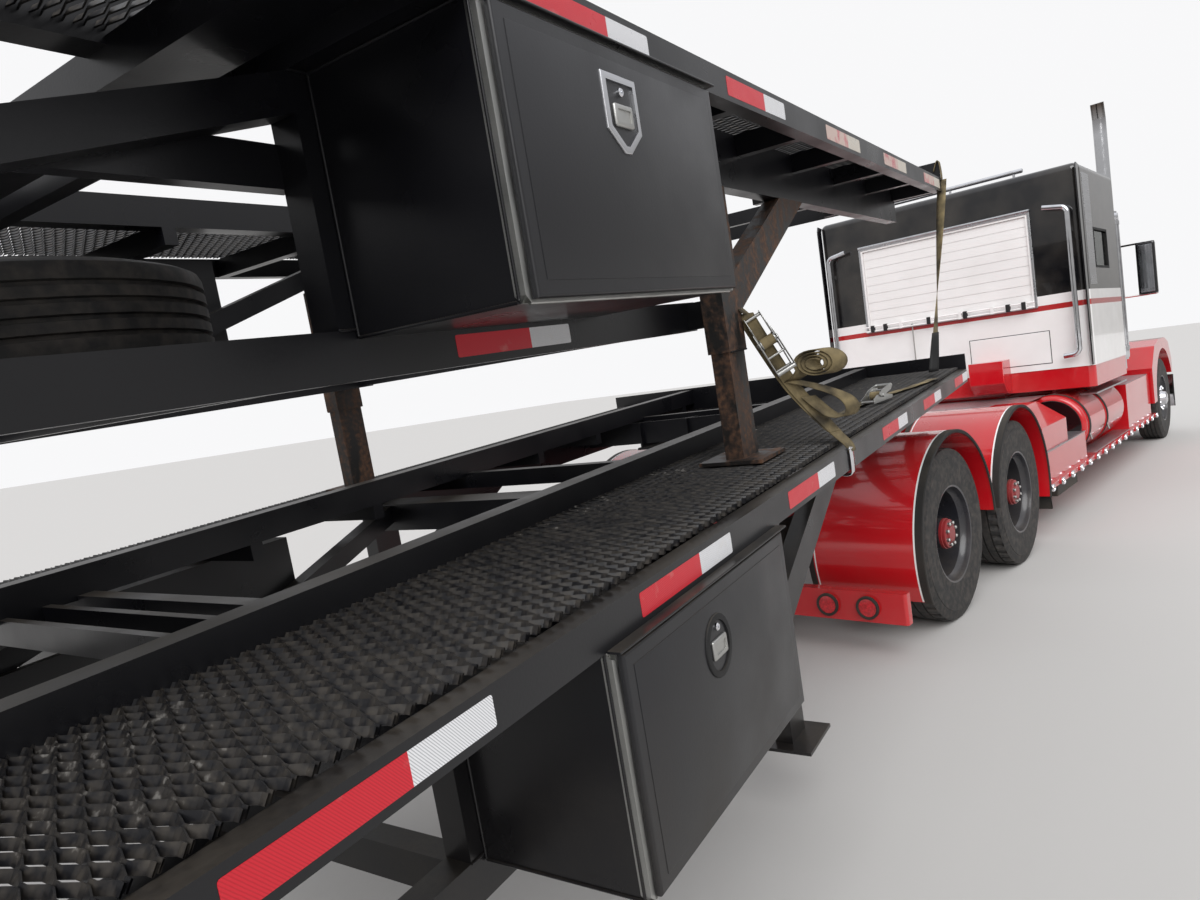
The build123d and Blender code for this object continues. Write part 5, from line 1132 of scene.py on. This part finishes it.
# Nose: headlamps in chrome bezels, a dark screen behind the grille bars, fog
# lamps in the bumper and rubber pull latches down the hood's sides.
fronts = [lamp("headlamp", 0.090, (8.456, y, 1.090), -90, chrome, clear_lens, 0.014)
          for y in (0.800, 1.030)]
pair_on("headlamp_faces", united("lamps", *fronts), "hood")
pair_on("fog_lamp", lamp("fog_lamp", 0.062, (8.598, 0.640, 0.545), -90, chrome, clear_lens, 0.008))
screen = block("grille_screen", (8.352, -0.552, 0.858), (8.356, 0.552, 1.657), chassis_paint, 0.001, 1)
wires = [rod("wire", (8.368, -0.552, z), (8.368, 0.552, z), 0.004, stainless, 8)
         for z in (0.858 + 0.08 * k for k in range(1, 10))]
placed(united("grille_screen", screen, *wires), PIVOT, "hood")
for x in (6.95, 7.02):
    pull = block("pull", (x - 0.014, 0.795, 1.075), (x + 0.014, 0.822, 1.215), soft_rubber, 0.006, 3)
    hold = rod("hold", (x - 0.022, 0.816, 1.205), (x + 0.022, 0.816, 1.205), 0.008, zinc, 12)
    pair_on("hood_latch_%d" % round(x * 100), united("latch", pull, hold), "hood")

# Cab: rubber-framed windows, black mirror shells with real mirror glass, pull
# handles on their hinged doors, wipers and five amber roof lamps.


def window_frame(name, low, high, width):
    """A flat rubber seal round a side window, between two corners."""
    return coated(rounded(opened(slab(name, low, high), 1, width), 0.0015, 2), soft_rubber)


window_seal = window_frame("window_seal", (5.628, 1.024, 1.868), (6.482, 1.035, 2.422), 0.020)
door_seals = {"left": window_seal, "right": other_side(window_seal, "seal")}
shell = block("mirror_shell", (6.409, 1.236, 1.836), (6.481, 1.424, 2.444), black_paint, 0.026, 5)
glass_face = block("mirror_glass", (6.4065, 1.262, 1.872), (6.4095, 1.398, 2.408), chrome, 0.0012, 1)
handle = block("handle", (5.575, 1.052, 1.736), (5.745, 1.062, 1.778), chrome, 0.004, 3)
stays = [rod("stay", (x, 1.026, 1.757), (x, 1.056, 1.757), 0.010, chrome, 14) for x in (5.592, 5.728)]
hinges = []
for z in (1.36, 1.74):
    leaf = block("leaf", (6.505, 1.027, z - 0.035), (6.550, 1.036, z + 0.035), stainless, 0.003, 2)
    hinges += [leaf, rod("pin", (6.545, 1.036, z - 0.04), (6.545, 1.036, z + 0.04), 0.008, stainless, 12)]
door_set = united("door_fittings", shell, glass_face, handle, *stays, *hinges)
for side, seal in door_seals.items():
    fittings = copy_of(door_set, "fit") if side == "left" else other_side(door_set, "fit")
    placed(united("cab_door_fittings_" + side, fittings, seal), PIVOT, "cab_door_" + side)
bpy.data.objects.remove(door_set)

pair_on("port_seal", window_frame("port_seal", (4.135, 1.268, 2.135), (4.715, 1.279, 2.515), 0.022))
wipers = []
for y in (0.22, 0.74):
    wipers += [rod("arm", (6.775, y, 1.868), (6.700, y - 0.12, 2.200), 0.006, soft_rubber, 10),
               rod("blade", (6.744, y - 0.13, 2.010), (6.646, y - 0.10, 2.410), 0.005, soft_rubber, 10),
               rod("pivot", (6.745, y, 1.850), (6.790, y, 1.885), 0.014, soft_rubber, 14)]
pair_on("wipers", united("wipers", *wipers))
markers = [block("marker", (6.392, y - 0.037, 2.672), (6.412, y + 0.037, 2.738), amber_lens, 0.008, 3,
                 above("x", 6.41)) for y in (-0.760, -0.380, 0.0, 0.380, 0.760)]
placed(united("roof_markers", *markers), PIVOT, "tractor")

# Welds: a rippled bead wherever an upright meets a rail or a chord near the
# tool boxes, and round the legs' collars.
LEG_U = -2.610
RAIL_W = -0.0825
CHORD_W = -0.570
JOINTS = [(u, 0.8815, w, 0.027) for u in (-4.130, -5.930, -7.730) for w in (RAIL_W, CHORD_W)]
JOINTS += [(LEG_U, 1.0365, w, 0.070) for w in (-0.200, -0.760)]
for level, deck in (("lower", LOWER), ("upper", UPPER)):
    for side, out in (("right", -1), ("left", 1)):
        beads = [weld("bead", (u - half, out * v, w), (u + half, out * v, w), 0.0035)
                 for u, v, w, half in JOINTS]
        placed(united("%s_welds_%s" % (level, side), *beads), deck, "trailer")

for side, out in (("right", -1), ("left", 1)):
    ends = [lamp("end_lamp", 0.052, (-15.915, out * y, 0.535), 90, soft_rubber, red_lens)
            for y in (0.900, 1.060)]
    placed(united("trailer_lamps_" + side, *ends), TRAILER, "trailer")

# Tie-down straps: 50 mm polyester webbing, olive and sun-bleached, held by
# zinc-plated ratchets; the spare length is rolled up and tucked into a bight.
webbing_cloth, tree, shader, place = material("polyester webbing")
weave = add(tree, "TexWave", {"Vector": place, "Scale": 160.0, "Distortion": 0.6}, bands_direction="Z")
rib = add(tree, "TexWave", {"Vector": place, "Scale": 95.0, "Distortion": 0.3}, bands_direction="X")
soil = add(tree, "TexNoise", {"Vector": place, "Scale": 13.0, "Detail": 5.0})
stained = add(tree, "MapRange", {0: soil, 1: 0.36, 2: 0.66})
base = add(tree, "Mix", {0: stained, 6: "93835f", 7: "3f382b"}, data_type="RGBA")
shadow = add(tree, "Math", {0: weave.outputs["Fac"], 1: 0.25}, operation="MULTIPLY")
base = add(tree, "Mix", {0: shadow, 6: base, 7: "2b261e"}, data_type="RGBA")
cloth = add(tree, "Mix", {0: 0.5, 2: weave.outputs["Fac"], 3: rib.outputs["Fac"]})
dressed(tree, shader, base, add(tree, "MapRange", {0: soil, 3: 0.75, 4: 0.95}), cloth, 0.0005)


def curve_through(points, steps):
    """Points along a smooth line through the given ones."""
    ends = [points[0]] + list(points) + [points[-1]]
    out = []
    for a, b, c, d in zip(ends, ends[1:], ends[2:], ends[3:]):
        for k in range(steps):
            t = k / steps
            out.append(tuple(0.5 * (2 * q + (r - p) * t + (2 * p - 5 * q + 4 * r - s) * t * t
                                    + (3 * q - p - 3 * r + s) * t ** 3) for p, q, r, s in zip(a, b, c, d)))
    return out + [points[-1]]


def webbing(name, points, width, thick, steps=0, finish=webbing_cloth):
    """Webbing laid along (v, w) points, or a smooth line through them in steps; its width lies along u."""
    if steps:
        points = curve_through(points, steps)
    strip = drawn(name, [(-width / 2, v, w) for v, w in points])
    edit(strip, "VERT", True)
    for cut in range(3):
        bpy.ops.mesh.extrude_region_move(TRANSFORM_OT_translate={"value": (width / 3, 0, 0)})
    outward()
    select_only(strip)
    bpy.ops.object.shade_smooth()
    walled(strip, thick, 0.0)
    return coated(strip, finish)


TEETH = 26


def ratchet(name):
    """A ratchet buckle lying along X, its width along Y."""
    parts = []
    frame_line = ((-0.105, -0.010), (0.120, -0.010), (0.127, 0.004), (0.045, 0.020), (-0.060, 0.027),
                  (-0.107, 0.012))
    handle_line = ((-0.045, 0.028), (-0.020, 0.012), (0.100, 0.032), (0.124, 0.050), (0.108, 0.062),
                   (0.000, 0.047))
    for side in (-1, 1):
        for line, off in ((frame_line, 0.030), (handle_line, 0.0345)):
            cheek = plate("cheek", line, side * off - 0.0012, side * off + 0.0012, zinc)
            parts.append(rounded(cheek, 0.0006, 2))
        wheel = spun("wheel", [(0.0, 0.0), (0.0, 0.022), (0.003, 0.022), (0.003, 0.0)], TEETH)
        for point in wheel.data.vertices:
            tooth = round(math.atan2(point.co.z, point.co.x) / (2 * math.pi) * TEETH)
            if math.hypot(point.co.x, point.co.z) > 0.02 and tooth % 2:
                point.co.x *= 0.86
                point.co.z *= 0.86
        parts.append(coated(moved(wheel, at(0, side * 0.026 - 0.0015, 0.018)), zinc))
    for x, z, reach, radius in ((0, 0.018, 0.040, 0.010), (-0.095, 0.0, 0.032, 0.006),
                                (0.112, 0.0, 0.032, 0.005), (0.112, 0.052, 0.037, 0.009),
                                (0.05, 0.038, 0.036, 0.004)):
        parts.append(rod("pin", (x, -reach, z), (x, reach, z), radius, zinc, 16))
    coil = spun("coil", [(-0.024, 0.0), (-0.024, 0.019), (0.024, 0.0195), (0.024, 0.0)], 28)
    return united(name, *parts, coated(moved(coil, at(0, 0, 0.018)), webbing_cloth))


def set_along(obj, start, end, across):
    """Turns X from start towards end with Y near across, and moves the piece to start."""
    x = (Vector(end) - Vector(start)).normalized()
    z = x.cross(Vector(across)).normalized()
    y = z.cross(x)
    turn = Matrix((x, y, z)).transposed().to_4x4()
    return moved(obj, Matrix.Translation(start) @ turn)


main_strap = webbing("main_strap", [(-1.050, 0.520), (-1.100, 0.375), (-1.155, 0.235), (-1.250, 0.075),
                                    (-1.296, 0.010), (-1.301, -0.020)], 0.050, 0.0028, 6)
under_strap = webbing("under_strap", [(-1.040, 0.512), (-1.092, 0.365), (-1.148, 0.228), (-1.238, 0.085),
                                      (-1.262, 0.062)], 0.050, 0.0024, 6)
bight = webbing("bight", [(-1.150, 0.262), (-1.235, 0.232), (-1.315, 0.190), (-1.340, 0.150),
                          (-1.320, 0.118), (-1.262, 0.125), (-1.195, 0.200)], 0.050, 0.0026, 7)
roll_line = [(-1.150, 0.262), (-1.180, 0.275)]
for k in range(84):
    angle = math.radians(-20 + k * 15)
    reach = 0.050 - k * 0.00041
    roll_line.append((-1.268 + 1.45 * reach * math.cos(angle), 0.315 + reach * math.sin(angle)))
rolled = webbing("rolled", roll_line, 0.051, 0.0022)
for strip in (main_strap, under_strap, bight, rolled):
    for point in strip.data.vertices:
        swing = math.radians(18 + 45 * min(1.0, max(0.0, point.co.z / 0.2)))
        point.co.y -= point.co.x * math.sin(swing)
        point.co.x = point.co.x * math.cos(swing) - 2.437 - 0.33 * point.co.z
hook_line = ((-1.2995, 0.0), (-1.3005, -0.060), (-1.298, -0.094), (-1.286, -0.102), (-1.264, -0.100),
             (-1.258, -0.088))
hook = webbing("hook", hook_line, 0.044, 0.0040, 4, chrome)
loop = rod("loop", (-0.030, -1.3005, -0.006), (0.030, -1.3005, -0.006), 0.005, chrome, 12)
hook = moved(united("hook", hook, loop), at(-2.432, 0, 0))
buckle = set_along(ratchet("buckle"), (-2.575, -1.100, 0.415), (-2.530, -1.150, 0.270), (0.5, -0.85, 0))
anchor = webbing("anchor", [(-1.052, 0.520), (-1.020, 0.548), (-0.960, 0.556), (-0.950, 0.50)],
                 0.048, 0.003, 4)
moved(anchor, at(LEG_U, 0, 0))
placed(united("leg_strap", main_strap, under_strap, bight, rolled, anchor, hook, buckle), LOWER, "trailer")

# The second ratchet lies on the runway, its webbing run out along the mesh.
strip = webbing("deck_strap", [(0.05 * k, 0.002 * math.sin(1.7 * k)) for k in range(26)], 0.050, 0.0026)
for point in strip.data.vertices:
    along, across, lift = point.co.y, point.co.x, point.co.z
    point.co = (-1.72 + along, -1.070 - 0.10 * along + 0.04 * math.sin(along * 4.0) + across,
                0.0285 + lift * 0.6)
hold = set_along(ratchet("hold"), (-1.36, -1.135, 0.040), (-1.15, -1.165, 0.040), (0, 1, 0))
placed(united("deck_strap", strip, hold), LOWER, "trailer")

# The third runs from the upper nose to the lower one, twisted by 150 degrees,
# with a black sleeve over its foot.
TOP = Vector((0.085, -1.3005, 1.150))
BOTTOM = Vector((-0.300, -1.205, 0.050))
LINK = 0.0275
drop = webbing("nose_strap", [(0.0, LINK * k) for k in range(41)], 0.050, 0.0028)
sleeve = webbing("nose_sleeve", [(0.0, LINK * k) for k in range(9)], 0.060, 0.008, finish=soft_rubber)
for strip in (drop, sleeve):
    for point in strip.data.vertices:
        t = point.co.z / (40 * LINK)
        turn = math.radians(150 * t - 50)
        across, face = point.co.x, point.co.y
        centre = BOTTOM.lerp(TOP, t)
        point.co = centre + Vector((across * math.cos(turn) - face * math.sin(turn),
                                    across * math.sin(turn) + face * math.cos(turn), 0))
over = webbing("over_rail", [(-1.3005, 1.145), (-1.3015, 1.185), (-1.296, 1.252), (-1.282, 1.254),
                             (-1.262, 1.2)], 0.050, 0.0028, 4)
moved(over, at(0.075, 0, 0))
placed(united("nose_strap", drop, sleeve, over), LOWER, "trailer")
